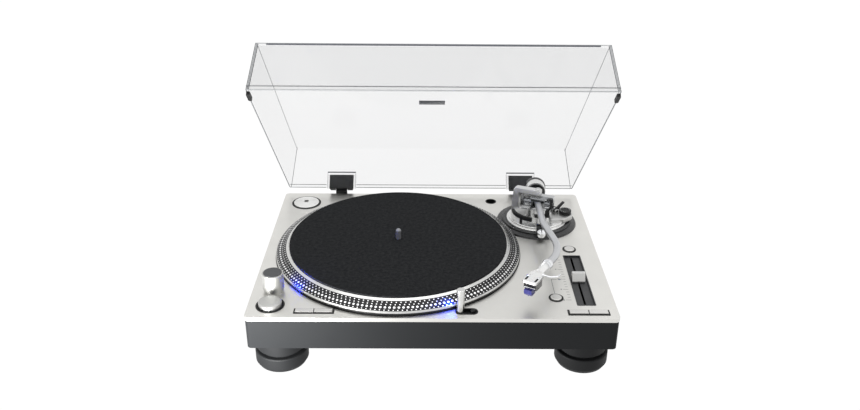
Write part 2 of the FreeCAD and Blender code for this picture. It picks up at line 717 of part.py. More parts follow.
class Piece:
    """One solid, built feature by feature in its own frame."""

    def __init__(self, label):
        self.body = doc.addObject("PartDesign::Body", label)
        self.label = label
        self.count = 0

    def name(self, kind):
        self.count += 1
        return f"{self.label}_{kind}_{self.count}"

    def sketch(self, drawings, plane="XY_Plane", offset=0):
        """A sketch on one of the body's own planes, lifted by offset along its normal."""
        drawing = self.body.newObject("Sketcher::SketchObject", self.name("sketch"))
        faces = [f for f in self.body.Origin.OriginFeatures if f.Role == plane]
        drawing.AttachmentSupport = [(faces[0], "")]
        drawing.MapMode = "FlatFace"
        drawing.setExpression("AttachmentOffset.Base.z", sized(offset).words)
        for draw in drawings:
            draw(drawing)
        return drawing

    def feature(self, kind, drawing):
        made = self.body.newObject(f"PartDesign::{kind}", self.name(kind.lower()))
        made.Profile = drawing
        self.last = made
        return made

    def pad(self, drawings, bottom, length, plane="XY_Plane"):
        """Add the outline from bottom, for length along the plane's normal."""
        made = self.feature("Pad", self.sketch(drawings, plane, bottom))
        made.setExpression("Length", sized(length).words)
        return self

    def pocket(self, drawings, top, length, plane="XY_Plane"):
        """Cut the outline from top, for length against the plane's normal."""
        doc.recompute()
        before = self.body.Shape.Volume
        made = self.feature("Pocket", self.sketch(drawings, plane, top))
        made.setExpression("Length", sized(length).words)
        doc.recompute()
        if self.body.Shape.Volume >= before - 1e-6:
            raise RuntimeError(f"{made.Name} cuts nothing")
        return self

    def turn(self, points):
        """Turn an outline of radius and height about the local Z axis."""
        drawing = self.sketch([polygon(points)], "XZ_Plane")
        made = self.feature("Revolution", drawing)
        made.ReferenceAxis = (drawing, ["V_Axis"])
        made.Angle = DISC_TURN
        return self

    def pipe(self, route, radii):
        """Sweep a round section along a route in the local XY plane that starts towards -Y."""
        path = self.sketch([polygon(route, closed=False)])
        x, y = route[0][0], route[0][1]
        section = self.sketch([circle(x, 0, r) for r in radii], "XZ_Plane", -sized(y))
        made = self.feature("AdditivePipe", section)
        made.Spine = (path, [])
        return self

    def loft(self, kind, lower, low, upper, high):
        """Add or cut a solid between two outlines at two heights."""
        bottom = self.sketch([lower], "XY_Plane", low)
        top = self.sketch([upper], "XY_Plane", high)
        made = self.feature(kind, bottom)
        made.Sections = [(top, [""])]
        made.Ruled = True
        doc.recompute()
        return self

    def edges(self, test):
        """Names of the edges whose middle and direction pass the test."""
        doc.recompute()
        names = []
        for i, edge in enumerate(self.body.Shape.Edges, 1):
            if test(edge):
                names.append(f"Edge{i}")
        if not names:
            raise RuntimeError(f"{self.label}: no edge to dress")
        return names

    def fillet(self, test, radius):
        names = self.edges(test)
        base = self.body.Tip
        made = self.body.newObject("PartDesign::Fillet", self.name("fillet"))
        made.Base = (base, names)
        made.setExpression("Radius", sized(radius).words)
        return self

    def chamfer(self, test, size):
        names = self.edges(test)
        base = self.body.Tip
        made = self.body.newObject("PartDesign::Chamfer", self.name("chamfer"))
        made.Base = (base, names)
        made.setExpression("Size", sized(size).words)
        return self

    def repeat(self, count):
        """Repeat the last feature round the local Z axis."""
        made = self.body.newObject("PartDesign::PolarPattern", self.name("pattern"))
        made.Originals = [self.last]
        axes = [f for f in self.body.Origin.OriginFeatures if f.Role == "Z_Axis"]
        made.Axis = (axes[0], [""])
        made.Angle = DISC_TURN
        made.setExpression("Occurrences", sized(count).words)
        self.body.Tip = made
        return self

    def put(self, where):
        """Place the body in the turntable, at a frame measured from the middle of the plinth."""
        self.body.setExpression("Placement", (ORIGIN * where).words)
        return self


NODES = {}


def node(piece):
    """Keep a piece, or a group of like pieces, as a node of the turntable."""
    if isinstance(piece, Piece):
        NODES[piece.label] = piece.body
    else:
        NODES[piece.Label] = piece
    return piece


def group(label, pieces):
    """Separate solids of one kind that share a node."""
    made = doc.addObject("Part::Compound", label)
    made.Links = [piece.body for piece in pieces]
    return node(made)


def flat_edges(height):
    """A test for edges that lie level at a height in the body's own frame."""
    level = sized(height).value

    def test(edge):
        box_of = edge.BoundBox
        return abs(box_of.ZMin - level) < 1e-4 and abs(box_of.ZMax - level) < 1e-4

    return test


s = Sheet(SIZES)
ORIGIN = frame(0, -s.middle_back)
TOP = s.panel_rise
PLATTER = frame(s.platter_x, s.platter_y, TOP)
PIVOT = frame(s.arm_x, s.arm_y, TOP)
COVER = frame(0, s.hinge_y, TOP + s.hinge_rise, X_AXIS, -s.cover_open)
GIMBAL = PIVOT * frame(0, 0, 0, Z_AXIS, -s.gimbal_angle)
LIFT_AXIS = (cosine(s.gimbal_angle), -sine(s.gimbal_angle), 0)
ARM = PIVOT * frame(0, 0, s.pivot_rise, LIFT_AXIS, -s.arm_tilt)
REAR_AXIS = (-cosine(s.rear_angle), sine(s.rear_angle), 0)
REAR = ARM * frame(0, 0, 0, REAR_AXIS, 90)
SPEED_KEYS = (s.keys_left, s.keys_right, s.keys_front, s.keys_rear)
RANGE_KEYS = (s.pair_left, s.pair_right, s.pair_front, s.pair_rear)
LEVER = PIVOT * frame(s.lever_x, s.lever_y, s.lever_rise, Z_AXIS, s.lever_angle)
HEAD = ARM * frame(s.nut_x, s.nut_y, 0, Z_AXIS, -s.offset_angle)


# Plinth: panel, housing, screws and feet

SCREWS = [(x, y) for x in (-1, 1) for y in (-1, 0, 1)]
FEET = {"left": -1, "right": 1}
ROWS = {"front": -1, "rear": 1}


def top_panel():
    half_width = s.plinth_width / 2
    half_depth = s.plinth_depth / 2
    made = Piece("top_panel")
    outline = box(-half_width, -half_depth, half_width, half_depth, s.panel_corner)
    made.pad([outline], TOP - s.panel_thick, s.panel_thick)
    inset = s.flange
    through = [
        circle(s.platter_x, s.platter_y, s.stator_opening),
        circle(s.arm_x, s.arm_y, s.mount_inner + s.mount_wall + s.seat_gap),
        circle(s.start_x, s.start_y, s.start_ring - inset),
        circle(s.dial_x, s.dial_y, s.spigot_radius + s.liner_gap),
        circle(s.reset_x, s.reset_y, s.button_ring - inset),
        circle(s.quartz_x, s.quartz_y, s.button_ring - inset),
        circle(s.adaptor_x, s.adaptor_y, s.adaptor_ring - inset),
        circle(s.socket_x, s.socket_y, s.socket_ring - inset / 2 + s.liner_gap),
        oblong(s.lamp_x, s.lamp_y, s.lamp_tray_end, s.lamp_y, s.lamp_end - inset),
        box(s.keys_left + inset, s.keys_front + inset, s.keys_right - inset, s.keys_rear - inset),
        box(s.pair_left + inset, s.pair_front + inset, s.pair_right - inset, s.pair_rear - inset),
        box(s.tray_left + inset, s.tray_front + inset, s.tray_right - inset, s.tray_rear - inset),
    ]
    made.pocket(through, TOP, s.panel_thick)
    holes = [circle(x * s.screw_x, y * s.screw_y, s.screw_radius) for x, y in SCREWS]
    made.pocket(holes, TOP - s.panel_thick + s.screw_bite, s.screw_bite)
    made.put(frame())
    return node(made)


def base_housing():
    half_width = s.plinth_width / 2 - s.housing_inset
    half_depth = s.plinth_depth / 2 - s.housing_inset
    wall = s.housing_wall
    top = TOP - s.panel_thick
    made = Piece("base_housing")
    outline = box(-half_width, -half_depth, half_width, half_depth, s.panel_corner)
    made.pad([outline], s.housing_bottom, top - s.housing_bottom)
    inner = box(wall - half_width, wall - half_depth, half_width - wall, half_depth - wall, wall)
    made.pocket([inner], top, top - s.housing_bottom - wall)
    floor = s.housing_bottom + wall
    bosses = [circle(x * s.screw_x, y * s.screw_y, s.boss_radius) for x, y in SCREWS]
    made.pad(bosses, floor, top - floor)
    made.pad([circle(x, y, s.post_radius) for x, y in board_posts()], floor, s.board_bottom - floor)
    holes = [circle(x * s.screw_x, y * s.screw_y, s.screw_radius) for x, y in SCREWS]
    made.pocket(holes, top, top - s.housing_bottom)
    half_jack = s.jack_width / 2
    mouths = [
        box(s.jack_x - half_jack, s.jack_middle - s.jack_high / 2,
            s.jack_x + half_jack, s.jack_middle + s.jack_high / 2),
        box(s.inlet_x - s.inlet_width / 2, s.jack_middle - s.inlet_high / 2,
            s.inlet_x + s.inlet_width / 2, s.jack_middle + s.inlet_high / 2),
    ]
    made.pocket(mouths, wall * 2 - s.plinth_depth / 2, wall * 3, "XZ_Plane")
    made.put(frame())
    return node(made)


def board_posts():
    """Places of the posts that carry the main board."""
    across = s.board_width / 2 - s.post_inset
    deep = s.board_depth / 2 - s.post_inset
    return [(s.platter_x + x * across, s.platter_y + y * deep) for x in (-1, 1) for y in (-1, 1)]


def base_screws():
    screws = []
    tip = TOP - s.panel_thick + s.screw_bite
    for i, (x, y) in enumerate(SCREWS, 1):
        screw = Piece(f"housing_screw_{i}")
        outline = [(0, -s.screw_head_high), (s.screw_head, -s.screw_head_high), (s.screw_head, 0)]
        outline += [(s.screw_radius, 0), (s.screw_radius, tip - s.housing_bottom)]
        screw.turn(outline + [(0, tip - s.housing_bottom)])
        screw.put(frame(x * s.screw_x, y * s.screw_y, s.housing_bottom))
        screws.append(screw)
    return group("base_screws", screws)


def feet():
    collars = []
    stem_bore = s.foot_stem + s.fit
    for row, front in ROWS.items():
        for side, right in FEET.items():
            where = frame(right * s.foot_x, front * s.foot_y)
            foot = Piece(f"foot_{row}_{side}")
            foot.turn([
                (0, 0), (s.foot_sole, 0), (s.foot_radius, s.foot_bevel), (s.foot_radius, s.foot_high, 2),
                (s.foot_neck, s.foot_high), (s.foot_neck, s.foot_neck_top - s.seat_gap / 3),
                (s.foot_stem, s.foot_neck_top - s.seat_gap / 3), (s.foot_stem, s.foot_stem_top),
                (0, s.foot_stem_top),
            ])
            foot.put(where)
            node(foot)
            collar = Piece(f"foot_collar_{row}_{side}")
            collar.turn([
                (stem_bore, s.foot_neck_top), (s.collar_radius, s.foot_neck_top),
                (s.collar_radius, s.housing_bottom), (stem_bore, s.housing_bottom),
            ])
            collar.put(where)
            collars.append(collar)
    group("foot_collars", collars)


# Platter, spindle and what turns them


def platter():
    made = Piece("platter")
    deck_low = s.deck_rise - s.deck_thick
    bore = s.shaft_radius + s.fit
    made.turn([
        (bore, s.platter_gap), (s.hub_radius, s.platter_gap), (s.hub_radius, deck_low),
        (s.skirt_inner, deck_low), (s.skirt_foot, s.platter_gap), (s.platter_radius, s.platter_gap),
        (s.platter_radius, s.ring_high), (s.band_low, s.band_low_rise), (s.band_top, s.band_top_rise),
        (s.rim_radius, s.rim_fall), (s.rim_inner, s.rim_rise), (s.rim_inner, s.deck_rise),
        (bore, s.deck_rise),
    ])
    half_rib = s.rib_thick / 2
    rib = box(s.rib_start, -half_rib, s.skirt_inner + 1, half_rib)
    made.pad([rib], deck_low - s.rib_high, s.rib_high + 1)
    made.repeat(s.rib_count)
    made.put(PLATTER)
    return node(made)


def spindle():
    made = Piece("spindle")
    foot = s.shaft_foot - TOP
    tip = s.pin_rise
    neck = s.deck_rise + s.mat_thick + s.pin_neck_over
    made.turn([
        (0, foot), (s.shaft_radius - 1, foot), (s.shaft_radius, foot + 1), (s.shaft_radius, s.deck_rise),
        (s.pin_neck, s.deck_rise), (s.pin_neck, neck), (s.pin_radius, neck),
        (s.pin_radius, tip - s.pin_nose), (s.pin_radius * 0.7, tip - 1), (s.pin_radius * 0.3, tip), (0, tip),
    ])
    made.put(PLATTER)
    return node(made)


def slipmat():
    made = Piece("slipmat")
    bore = s.pin_radius + s.fit * 2
    top = s.deck_rise + s.mat_thick
    made.turn([(bore, s.deck_rise), (s.mat_radius, s.deck_rise), (s.mat_radius, top, 0.6), (bore, top)])
    made.put(PLATTER)
    return node(made)


def magnet_ring():
    made = Piece("magnet_ring")
    top = s.deck_rise - s.deck_thick
    low = top - s.magnet_thick
    made.turn([(s.magnet_inner, low), (s.magnet_outer, low), (s.magnet_outer, top), (s.magnet_inner, top)])
    made.put(PLATTER)
    return node(made)


def bearing_housing():
    made = Piece("bearing_housing")
    floor = s.housing_bottom + s.housing_wall
    bore = s.shaft_radius + s.fit / 2
    cup = s.shaft_foot - s.liner_gap
    made.turn([
        (0, floor), (s.bearing_flange, floor), (s.bearing_flange, floor + s.bearing_flange_high),
        (s.bearing_radius, floor + s.bearing_flange_high), (s.bearing_radius, s.bearing_top),
        (bore, s.bearing_top), (bore, cup), (0, cup),
    ])
    made.put(frame(s.platter_x, s.platter_y))
    return node(made)


def motor_stator():
    made = Piece("motor_stator")
    low = s.board_bottom + s.board_thick
    top = TOP + s.coil_top_rise
    made.turn([
        (s.stator_inner, low), (s.stator_outer, low), (s.stator_outer, s.stator_core_top),
        (s.stator_inner, s.stator_core_top),
    ])
    half = s.coil_wide / 2
    core = s.coil_core / 2
    coil = box(s.coil_inner, -half, s.coil_outer, half, 3)
    window = box(s.coil_inner + half - core / 2, -core / 2, s.coil_outer - half + core / 2, core / 2)
    made.pad([coil, window], s.stator_core_top - 0.5, top - s.stator_core_top + 0.5)
    made.repeat(s.coil_count)
    made.put(frame(s.platter_x, s.platter_y))
    return node(made)


def main_board():
    made = Piece("main_board")
    half_width = s.board_width / 2
    half_depth = s.board_depth / 2
    outline = box(-half_width, -half_depth, half_width, half_depth)
    made.pad([outline, circle(0, 0, s.board_hole)], 0, s.board_thick)
    size = s.part_size
    edge = half_depth - size
    parts = []
    for i in range(3):
        x = half_width - size - size * i * s.part_pitch
        parts.append(circle(-x, -edge, size / 2))
        parts.append(box(x - size / 2, edge - size / 2, x + size / 2, edge + size / 2))
    made.pad(parts, s.board_thick, s.part_high)
    made.put(frame(s.platter_x, s.platter_y, s.board_bottom))
    return node(made)


def transformer():
    made = Piece("transformer")
    half_width = s.core_width / 2
    half_depth = s.core_depth / 2
    inset = s.winding_inset
    made.pad([box(-half_width, -half_depth, half_width, half_depth)], 0, s.core_high)
    winding = box(inset - half_width, inset - half_depth, half_width - inset, half_depth - inset, 3)
    made.pad([winding], s.core_high - 1, s.winding_high - s.core_high + 1)
    made.put(frame(s.core_x, s.core_y, s.housing_bottom + s.housing_wall))
    return node(made)


# Rear sockets


def socket_panel():
    made = Piece("socket_panel")
    half_width = s.jack_width / 2 + s.jack_margin
    half_high = s.jack_high / 2 + s.jack_margin
    inside = s.plinth_depth / 2 - s.housing_inset - s.housing_wall
    made.pad([box(-half_width, -half_high, half_width, half_high)], 0, s.jack_plate, "XZ_Plane")
    room = s.switch_travel / 2 + s.switch_wide / 2 + s.liner_gap
    half_switch = s.switch_high / 2 + s.liner_gap
    slot = box(s.switch_x - room, -half_switch, s.switch_x + room, half_switch)
    made.pocket([slot], s.jack_plate, s.jack_plate * 2, "XZ_Plane")
    made.put(frame(s.jack_x, inside, s.jack_middle))
    return made


def rear_sockets():
    """The mains inlet, and two audio sockets and the ground post on their panel."""
    inside = s.plinth_depth / 2 - s.housing_inset - s.housing_wall
    pieces = [mains_inlet(), socket_panel()]
    for i, side in enumerate((-1, 1), 1):
        jack = Piece(f"audio_socket_{i}")
        jack.turn([
            (0, 0), (s.jack_radius + 1.5, 0), (s.jack_radius + 1.5, 1.5), (s.jack_radius, 1.5),
            (s.jack_radius, s.jack_long), (s.jack_bore, s.jack_long), (s.jack_bore, 1), (0, 1),
        ])
        jack.put(frame(s.jack_x + side * s.jack_pitch / 2, inside, s.jack_middle, X_AXIS, -90))
        pieces.append(jack)
    post = Piece("ground_post")
    post.turn([
        (0, 0), (s.ground_radius, 0), (s.ground_radius, 3), (s.screw_radius, 3),
        (s.screw_radius, 4), (s.ground_radius, 4), (s.ground_radius, s.jack_long), (0, s.jack_long),
    ])
    post.put(frame(s.jack_x + s.ground_x, inside, s.jack_middle, X_AXIS, -90))
    pieces.append(post)
    return group("rear_sockets", pieces)


def line_switch():
    made = Piece("line_switch")
    half_wide = s.switch_wide / 2
    half_high = s.switch_high / 2
    inside = s.plinth_depth / 2 - s.housing_inset - s.housing_wall
    nib = s.jack_plate + s.switch_out
    made.pad([box(-half_wide, -half_high, half_wide, half_high)], -s.switch_out, nib, "XZ_Plane")
    made.put(frame(s.jack_x + s.switch_x, inside, s.jack_middle))
    return node(made)


def mains_inlet():
    made = Piece("mains_inlet")
    half_width = s.inlet_width / 2 - s.liner_gap
    half_high = s.inlet_high / 2 - s.liner_gap
    half_pitch = s.inlet_pitch / 2
    made.pad([box(-half_width, -half_high, half_width, half_high, 2)], 0, s.inlet_deep, "XZ_Plane")
    mouth = oblong(-half_pitch, 0, half_pitch, 0, s.inlet_lobe)
    cut = made.feature("Pocket", made.sketch([mouth], "XZ_Plane", 0))
    cut.setExpression("Length", s.inlet_mouth.words)
    cut.Reversed = True
    pins = [circle(x * half_pitch, 0, s.inlet_pin) for x in (-1, 1)]
    made.pad(pins, s.inlet_mouth - s.inlet_pin_long, s.inlet_pin_long, "XZ_Plane")
    made.put(frame(s.inlet_x, s.plinth_depth / 2 - s.housing_inset + 1, s.jack_middle))
    return made


# Dust cover and its hinges


def cover_outline(inset, lean, corner):
    """The cover's outline, drawn in by inset and leaning in by a share of its draft."""
    half = s.cover_width / 2 - s.draft_side * lean - inset
    front = -s.cover_back - s.cover_depth + s.draft_front * lean + inset
    rear = -s.cover_back - s.draft_rear * lean - inset
    return box(-half, front, half, rear, corner)


def dust_cover():
    made = Piece("dust_cover")
    rim = -s.cover_rim_drop
    top = s.cover_high - s.cover_rim_drop
    made.loft("AdditiveLoft", cover_outline(0, 0, s.cover_corner), rim,
              cover_outline(0, 1, s.cover_corner), top)
    band = cover_outline(-s.band_thick, 0, s.cover_corner + s.band_thick)
    made.pad([band], rim, s.band_high)
    made.fillet(flat_edges(top), s.cover_round)
    half_sleeve = s.sleeve_wide / 2
    into = s.cover_back + s.cover_wall / 2
    blocks = []
    rooms = []
    notches = []
    inner = half_sleeve - s.sleeve_wall
    half_notch = s.sleeve_notch / 2
    for side in (-1, 1):
        x = side * s.hinge_x
        blocks.append(box(x - half_sleeve, -into, x + half_sleeve, -s.sleeve_rear))
        rooms.append(box(x - inner, -s.leaf_front - s.seat_gap, x + inner, -s.sleeve_rear - s.sleeve_wall))
        notches.append(box(x - half_notch, -s.cover_back, x + half_notch, 0))
    made.pad(blocks, rim, s.sleeve_high)
    made.pocket(rooms, rim + s.sleeve_high - s.sleeve_wall, s.sleeve_high)
    made.pocket(notches, s.leaf_notch_top + s.seat_gap, s.sleeve_high)
    share = (s.cover_high - s.cover_wall) / s.cover_high
    made.loft("SubtractiveLoft", cover_outline(s.cover_wall, 0, s.cover_corner - s.cover_wall), rim,
              cover_outline(s.cover_wall, share, s.cover_corner - s.cover_wall), top - s.cover_wall)
    made.put(COVER)
    return node(made)


def cover_hinge_leaves():
    """The two leaves that sit in the cover's sleeves, each with two lugs on the hinge pin."""
    leaves = []
    for name, side in (("left", -1), ("right", 1)):
        leaf = Piece(f"hinge_leaf_{name}")
        half = s.leaf_wide / 2
        notch = s.leaf_notch / 2
        low = -s.leaf_bottom
        outline = polygon([
            (-half, low), (-notch, low), (-notch, s.leaf_notch_top), (notch, s.leaf_notch_top),
            (notch, low), (half, low), (half, s.leaf_top), (-half, s.leaf_top),
        ])
        leaf.pad([outline], s.leaf_rear, s.leaf_front - s.leaf_rear, "XZ_Plane")
        for end in (notch, -notch - s.lug_wide):
            leaf.pad([circle(0, 0, s.lug_radius)], end, s.lug_wide, "YZ_Plane")
            web = box(-s.leaf_rear - 0.2, low, 0, 0)
            leaf.pad([web], end, s.lug_wide, "YZ_Plane")
        bore = circle(0, 0, s.hinge_pin + s.fit)
        leaf.pocket([bore], half, s.leaf_wide, "YZ_Plane")
        leaf.put(COVER * frame(side * s.hinge_x))
        leaves.append(leaf)
    return leaves


def hinge_brackets():
    brackets = []
    for name, side in (("left", -1), ("right", 1)):
        bracket = Piece(f"hinge_bracket_{name}")
        half = s.knuckle_wide / 2
        bracket.pad([circle(0, 0, s.knuckle_radius)], -half, s.knuckle_wide, "YZ_Plane")
        arm = polygon([
            (-s.bracket_front, -s.bracket_drop), (-s.bracket_rear, -s.bracket_drop),
            (-s.bracket_rear, 0), (-s.bracket_front, -s.bracket_top),
        ])
        bracket.pad([arm], -half, s.knuckle_wide, "YZ_Plane")
        bracket.pocket([circle(0, 0, s.hinge_pin)], half, s.knuckle_wide, "YZ_Plane")
        bracket.put(frame(side * s.hinge_x, s.hinge_y, TOP + s.hinge_rise))
        brackets.append(bracket)
        rod = Piece(f"hinge_pin_{name}")
        half = s.leaf_notch / 2 + s.lug_wide
        rod.pad([circle(0, 0, s.hinge_pin)], -half, half * 2, "YZ_Plane")
        rod.put(frame(side * s.hinge_x, s.hinge_y, TOP + s.hinge_rise))
        brackets.append(rod)
    return group("hinge_brackets", brackets)


def cover_bumpers():
    """Rubber blocks under the front corners of the rim."""
    bumpers = []
    for name, side in (("left", -1), ("right", 1)):
        rubber = Piece(f"cover_bumper_{name}")
        half_wide = s.bumper_wide / 2
        front = -s.cover_back - s.cover_depth + s.bumper_front
        rim = -s.cover_rim_drop
        rubber.pad([box(-half_wide, front, half_wide, front + s.bumper_long, 2)],
                   rim - s.bumper_high, s.bumper_high)
        middle = s.cover_width / 2 - half_wide
        rubber.put(COVER * frame(side * middle))
        bumpers.append(rubber)
    return bumpers


# Controls at the left


def cup(label, ring, wall, deep, bore, x, y):
    """A black cup set in the panel: a flange on top, a wall and a floor with a hole."""
    made = Piece(label)
    outer = ring - s.flange - s.liner_gap
    inner = outer - wall
    made.turn([
        (ring, 0), (ring, s.flange_high), (inner, s.flange_high), (inner, -deep),
        (bore, -deep), (bore, -deep - wall), (outer, -deep - wall), (outer, 0),
    ])
    made.put(frame(x, y, TOP))
    return made


def start_button():
    stem = s.key_stem * 2
    made = Piece("start_button")
    low = s.key_low - s.cup_deep
    edge = s.start_radius
    made.turn([
        (0, -s.cup_deep - s.spigot_deep), (stem, -s.cup_deep - s.spigot_deep), (stem, low),
        (edge, low), (edge, s.start_edge), (edge - 1.5, s.start_rise - 0.4), (edge * 0.5, s.start_rise),
        (0, s.start_rise),
    ])
    made.put(frame(s.start_x, s.start_y, TOP))
    return node(made)


def strobe_collar():
    made = Piece("strobe_collar")
    made.turn([
        (0, -s.spigot_deep), (s.spigot_radius, -s.spigot_deep), (s.spigot_radius, 0),
        (s.collar_r, 0), (s.collar_r, s.collar_rise, 0.5), (0, s.collar_rise),
    ])
    window = circle(0, s.lens_rise, s.lens_radius)
    made.pocket([window], s.collar_r + 1, s.lens_long + 1, "YZ_Plane")
    made.put(frame(s.dial_x, s.dial_y, TOP, Z_AXIS, s.lens_angle))
    node(made)
    lens = Piece("strobe_lens")
    start = s.collar_r - s.lens_long
    lens.pad([circle(0, s.lens_rise, s.lens_radius)], start, s.lens_long - 0.2, "YZ_Plane")
    lens.put(frame(s.dial_x, s.dial_y, TOP, Z_AXIS, s.lens_angle))
    return lens


def power_dial():
    made = Piece("power_dial")
    top = s.dial_rise - s.dial_cap_high
    made.turn([
        (0, s.dial_low), (s.dial_radius, s.dial_low), (s.dial_radius, top, 0.8), (s.dial_cap_radius, top),
        (s.dial_cap_radius, top - 1), (0, top - 1),
    ])
    made.put(frame(s.dial_x, s.dial_y, TOP))
    node(made)
    cap = Piece("power_dial_cap")
    cap.turn([
        (0, top - 1), (s.dial_cap_radius, top - 1), (s.dial_cap_radius, s.dial_rise, s.edge),
        (0, s.dial_rise),
    ])
    cap.put(frame(s.dial_x, s.dial_y, TOP))
    node(cap)


# Keys and round buttons


def key_surround(label, left, right, front, rear):
    """A black frame round a pair of keys, with a floor that guides their stems."""
    made = Piece(label)
    inset = s.flange + s.liner_gap
    made.pad([box(left, front, right, rear, s.flange / 2)], 0, s.flange_high)
    body = box(left + inset, front + inset, right - inset, rear - inset)
    made.pad([body], -s.panel_thick - s.cup_wall, s.panel_thick + s.cup_wall)
    room = inset + s.cup_wall / 2
    made.pocket([box(left + room, front + room, right - room, rear - room)], s.flange_high,
                s.panel_thick + s.flange_high)
    row = (front + rear) / 2
    stems = [circle(x, row, s.key_stem + s.seat_gap) for x in key_middles(left, right)]
    made.pocket(stems, -s.panel_thick, s.cup_wall)
    made.put(frame(0, 0, TOP))
    return made


def key_middles(left, right):
    """Middles of the two keys between left and right."""
    quarter = (right - left) / 4
    return left + quarter, right - quarter


def keys(labels, left, right, front, rear):
    """Two keys side by side in one surround."""
    room = s.flange + s.liner_gap + s.cup_wall / 2 + s.key_gap / 2
    middle = (left + right) / 2
    half_gap = s.key_gap / 2
    row = (front + rear) / 2
    spans = ((left + room, middle - half_gap), (middle + half_gap, right - room))
    for label, span, x in zip(labels, spans, key_middles(left, right)):
        made = Piece(label)
        made.pad([box(span[0], front + room, span[1], rear - room)], -s.key_low, s.key_rise + s.key_low)
        made.chamfer(flat_edges(s.key_rise), 0.5)
        made.pad([circle(x, row, s.key_stem)], -s.key_low - s.spigot_deep, s.spigot_deep + 0.5)
        made.put(frame(0, 0, TOP))
        node(made)


def round_button(label, x, y):
    """A round button in a black ring."""
    made = Piece(label)
    made.turn([
        (0, -s.panel_thick - s.spigot_deep), (s.key_stem, -s.panel_thick - s.spigot_deep),
        (s.key_stem, -s.key_low), (s.button_radius, -s.key_low), (s.button_radius, s.button_rise, 0.7),
        (0, s.button_rise),
    ])
    made.put(frame(x, y, TOP))
    return node(made)


# Pitch fader


def pitch_tray():
    made = Piece("pitch_tray")
    inset = s.flange + s.liner_gap
    outline = box(s.tray_left + inset, s.tray_front + inset, s.tray_right - inset, s.tray_rear - inset)
    made.pad([box(s.tray_left, s.tray_front, s.tray_right, s.tray_rear, s.flange)], 0, s.flange_high)
    made.pad([outline], -s.panel_thick + 1, s.panel_thick - 1)
    wall = s.cup_wall
    room = box(s.tray_left + wall, s.tray_front + wall, s.tray_right - wall, s.tray_rear - wall)
    made.pocket([room], s.flange_high, s.tray_deep + s.flange_high)
    slot = oblong(s.slot_x, s.slot_front, s.slot_x, s.slot_rear, s.slot_half)
    lamp = circle(s.led_x, s.led_y, s.led_radius)
    made.pocket([slot, lamp], -s.tray_deep, s.panel_thick)
    made.put(frame(0, 0, TOP))
    node(made)
    led = Piece("pitch_lamp")
    led.turn([(0, -s.panel_thick), (s.led_radius, -s.panel_thick), (s.led_radius, -s.tray_deep + 0.3, 0.4),
              (0, -s.tray_deep + 0.3)])
    led.put(frame(s.led_x, s.led_y, TOP))
    return led


def pitch_fader():
    made = Piece("pitch_fader")
    half = s.fader_long / 2
    crown = s.fader_crown / 2
    low = s.fader_low * -1
    side = polygon([
        (-half, low), (half, low), (half, low + 2), (crown, s.fader_rise, 0.8), (-crown, s.fader_rise, 0.8),
        (-half, low + 2),
    ])
    made.pad([side], -s.fader_wide / 2, s.fader_wide, "YZ_Plane")
    half_stem = s.fader_stem / 2
    thin = s.slot_half - s.liner_gap
    made.pad([box(-thin, -half_stem, thin, half_stem)], -s.fader_drop, s.fader_drop)
    made.put(frame(s.slot_x, s.fader_y, TOP))
    return node(made)


# Target lamp, adaptor and spare headshell socket


def lamp_tray():
    made = Piece("lamp_tray")
    y = s.lamp_y
    inset = s.flange + s.liner_gap
    inner = oblong(s.lamp_x, y, s.lamp_tray_end, y, s.lamp_end - inset - s.cup_wall / 2)
    outer = oblong(s.lamp_x, y, s.lamp_tray_end, y, s.lamp_end - inset)
    made.pad([oblong(s.lamp_x, y, s.lamp_tray_end, y, s.lamp_end)], 0, s.flange_high)
    made.pad([outer], -s.panel_thick - s.cup_wall, s.panel_thick + s.cup_wall)
    made.pocket([inner], s.flange_high, s.lamp_tray_deep + s.flange_high)
    holes = [circle(s.lamp_x, y, s.lamp_radius + s.liner_gap),
             circle(s.release_x, y, s.release_radius + s.liner_gap)]
    made.pocket(holes, -s.lamp_tray_deep, s.panel_thick)
    made.put(frame(0, 0, TOP))
    return made


def target_lamp():
    """The lamp's tube and the lens in its head."""
    made = Piece("target_lamp_tube")
    made.turn([
        (0, -s.lamp_foot), (s.lamp_radius, -s.lamp_foot), (s.lamp_radius, s.lamp_cap_low),
        (s.lamp_cap, s.lamp_cap_low), (s.lamp_cap, s.lamp_rise, 0.8), (0, s.lamp_rise),
    ])
    window = circle(0, s.lamp_window_rise, s.lamp_window)
    made.pocket([window], s.lamp_cap + 1, s.lamp_window + 1, "YZ_Plane")
    aim = frame(s.lamp_x, s.lamp_y, TOP, Z_AXIS, s.lamp_aim)
    made.put(aim)
    lens = Piece("target_lamp_lens")
    lens.pad([window], s.lamp_cap - s.lamp_window, s.lamp_window, "YZ_Plane")
    lens.put(aim)
    group("target_lamp", [made, lens])


def release_button():
    release = Piece("lamp_release_button")
    release.turn([
        (0, -s.spigot_deep), (s.release_radius, -s.spigot_deep),
        (s.release_radius, s.release_rise - s.release_dome, s.edge),
        (s.release_radius / 2, s.release_rise), (0, s.release_rise),
    ])
    release.put(frame(s.release_x, s.lamp_y, TOP))
    return node(release)


def record_adaptor():
    made = Piece("record_adaptor")
    edge = s.adaptor_radius
    made.turn([
        (s.adaptor_hole, -s.adaptor_deep), (edge, -s.adaptor_deep), (edge, s.adaptor_rise - 1.6, 0.5),
        (edge * 0.4, s.adaptor_rise), (s.adaptor_hole, s.adaptor_rise),
    ])
    made.put(frame(s.adaptor_x, s.adaptor_y, TOP))
    return node(made)


def headshell_socket():
    made = Piece("headshell_socket")
    outer = s.socket_ring - s.flange / 2
    floor = -s.socket_deep
    made.turn([
        (s.socket_ring, 0), (s.socket_ring, s.flange_high), (s.socket_bore, s.flange_high),
        (s.socket_bore, floor), (0, floor), (0, floor - 1), (outer, floor - 1), (outer, 0),
    ])
    made.put(frame(s.socket_x, s.socket_y, TOP))
    return made


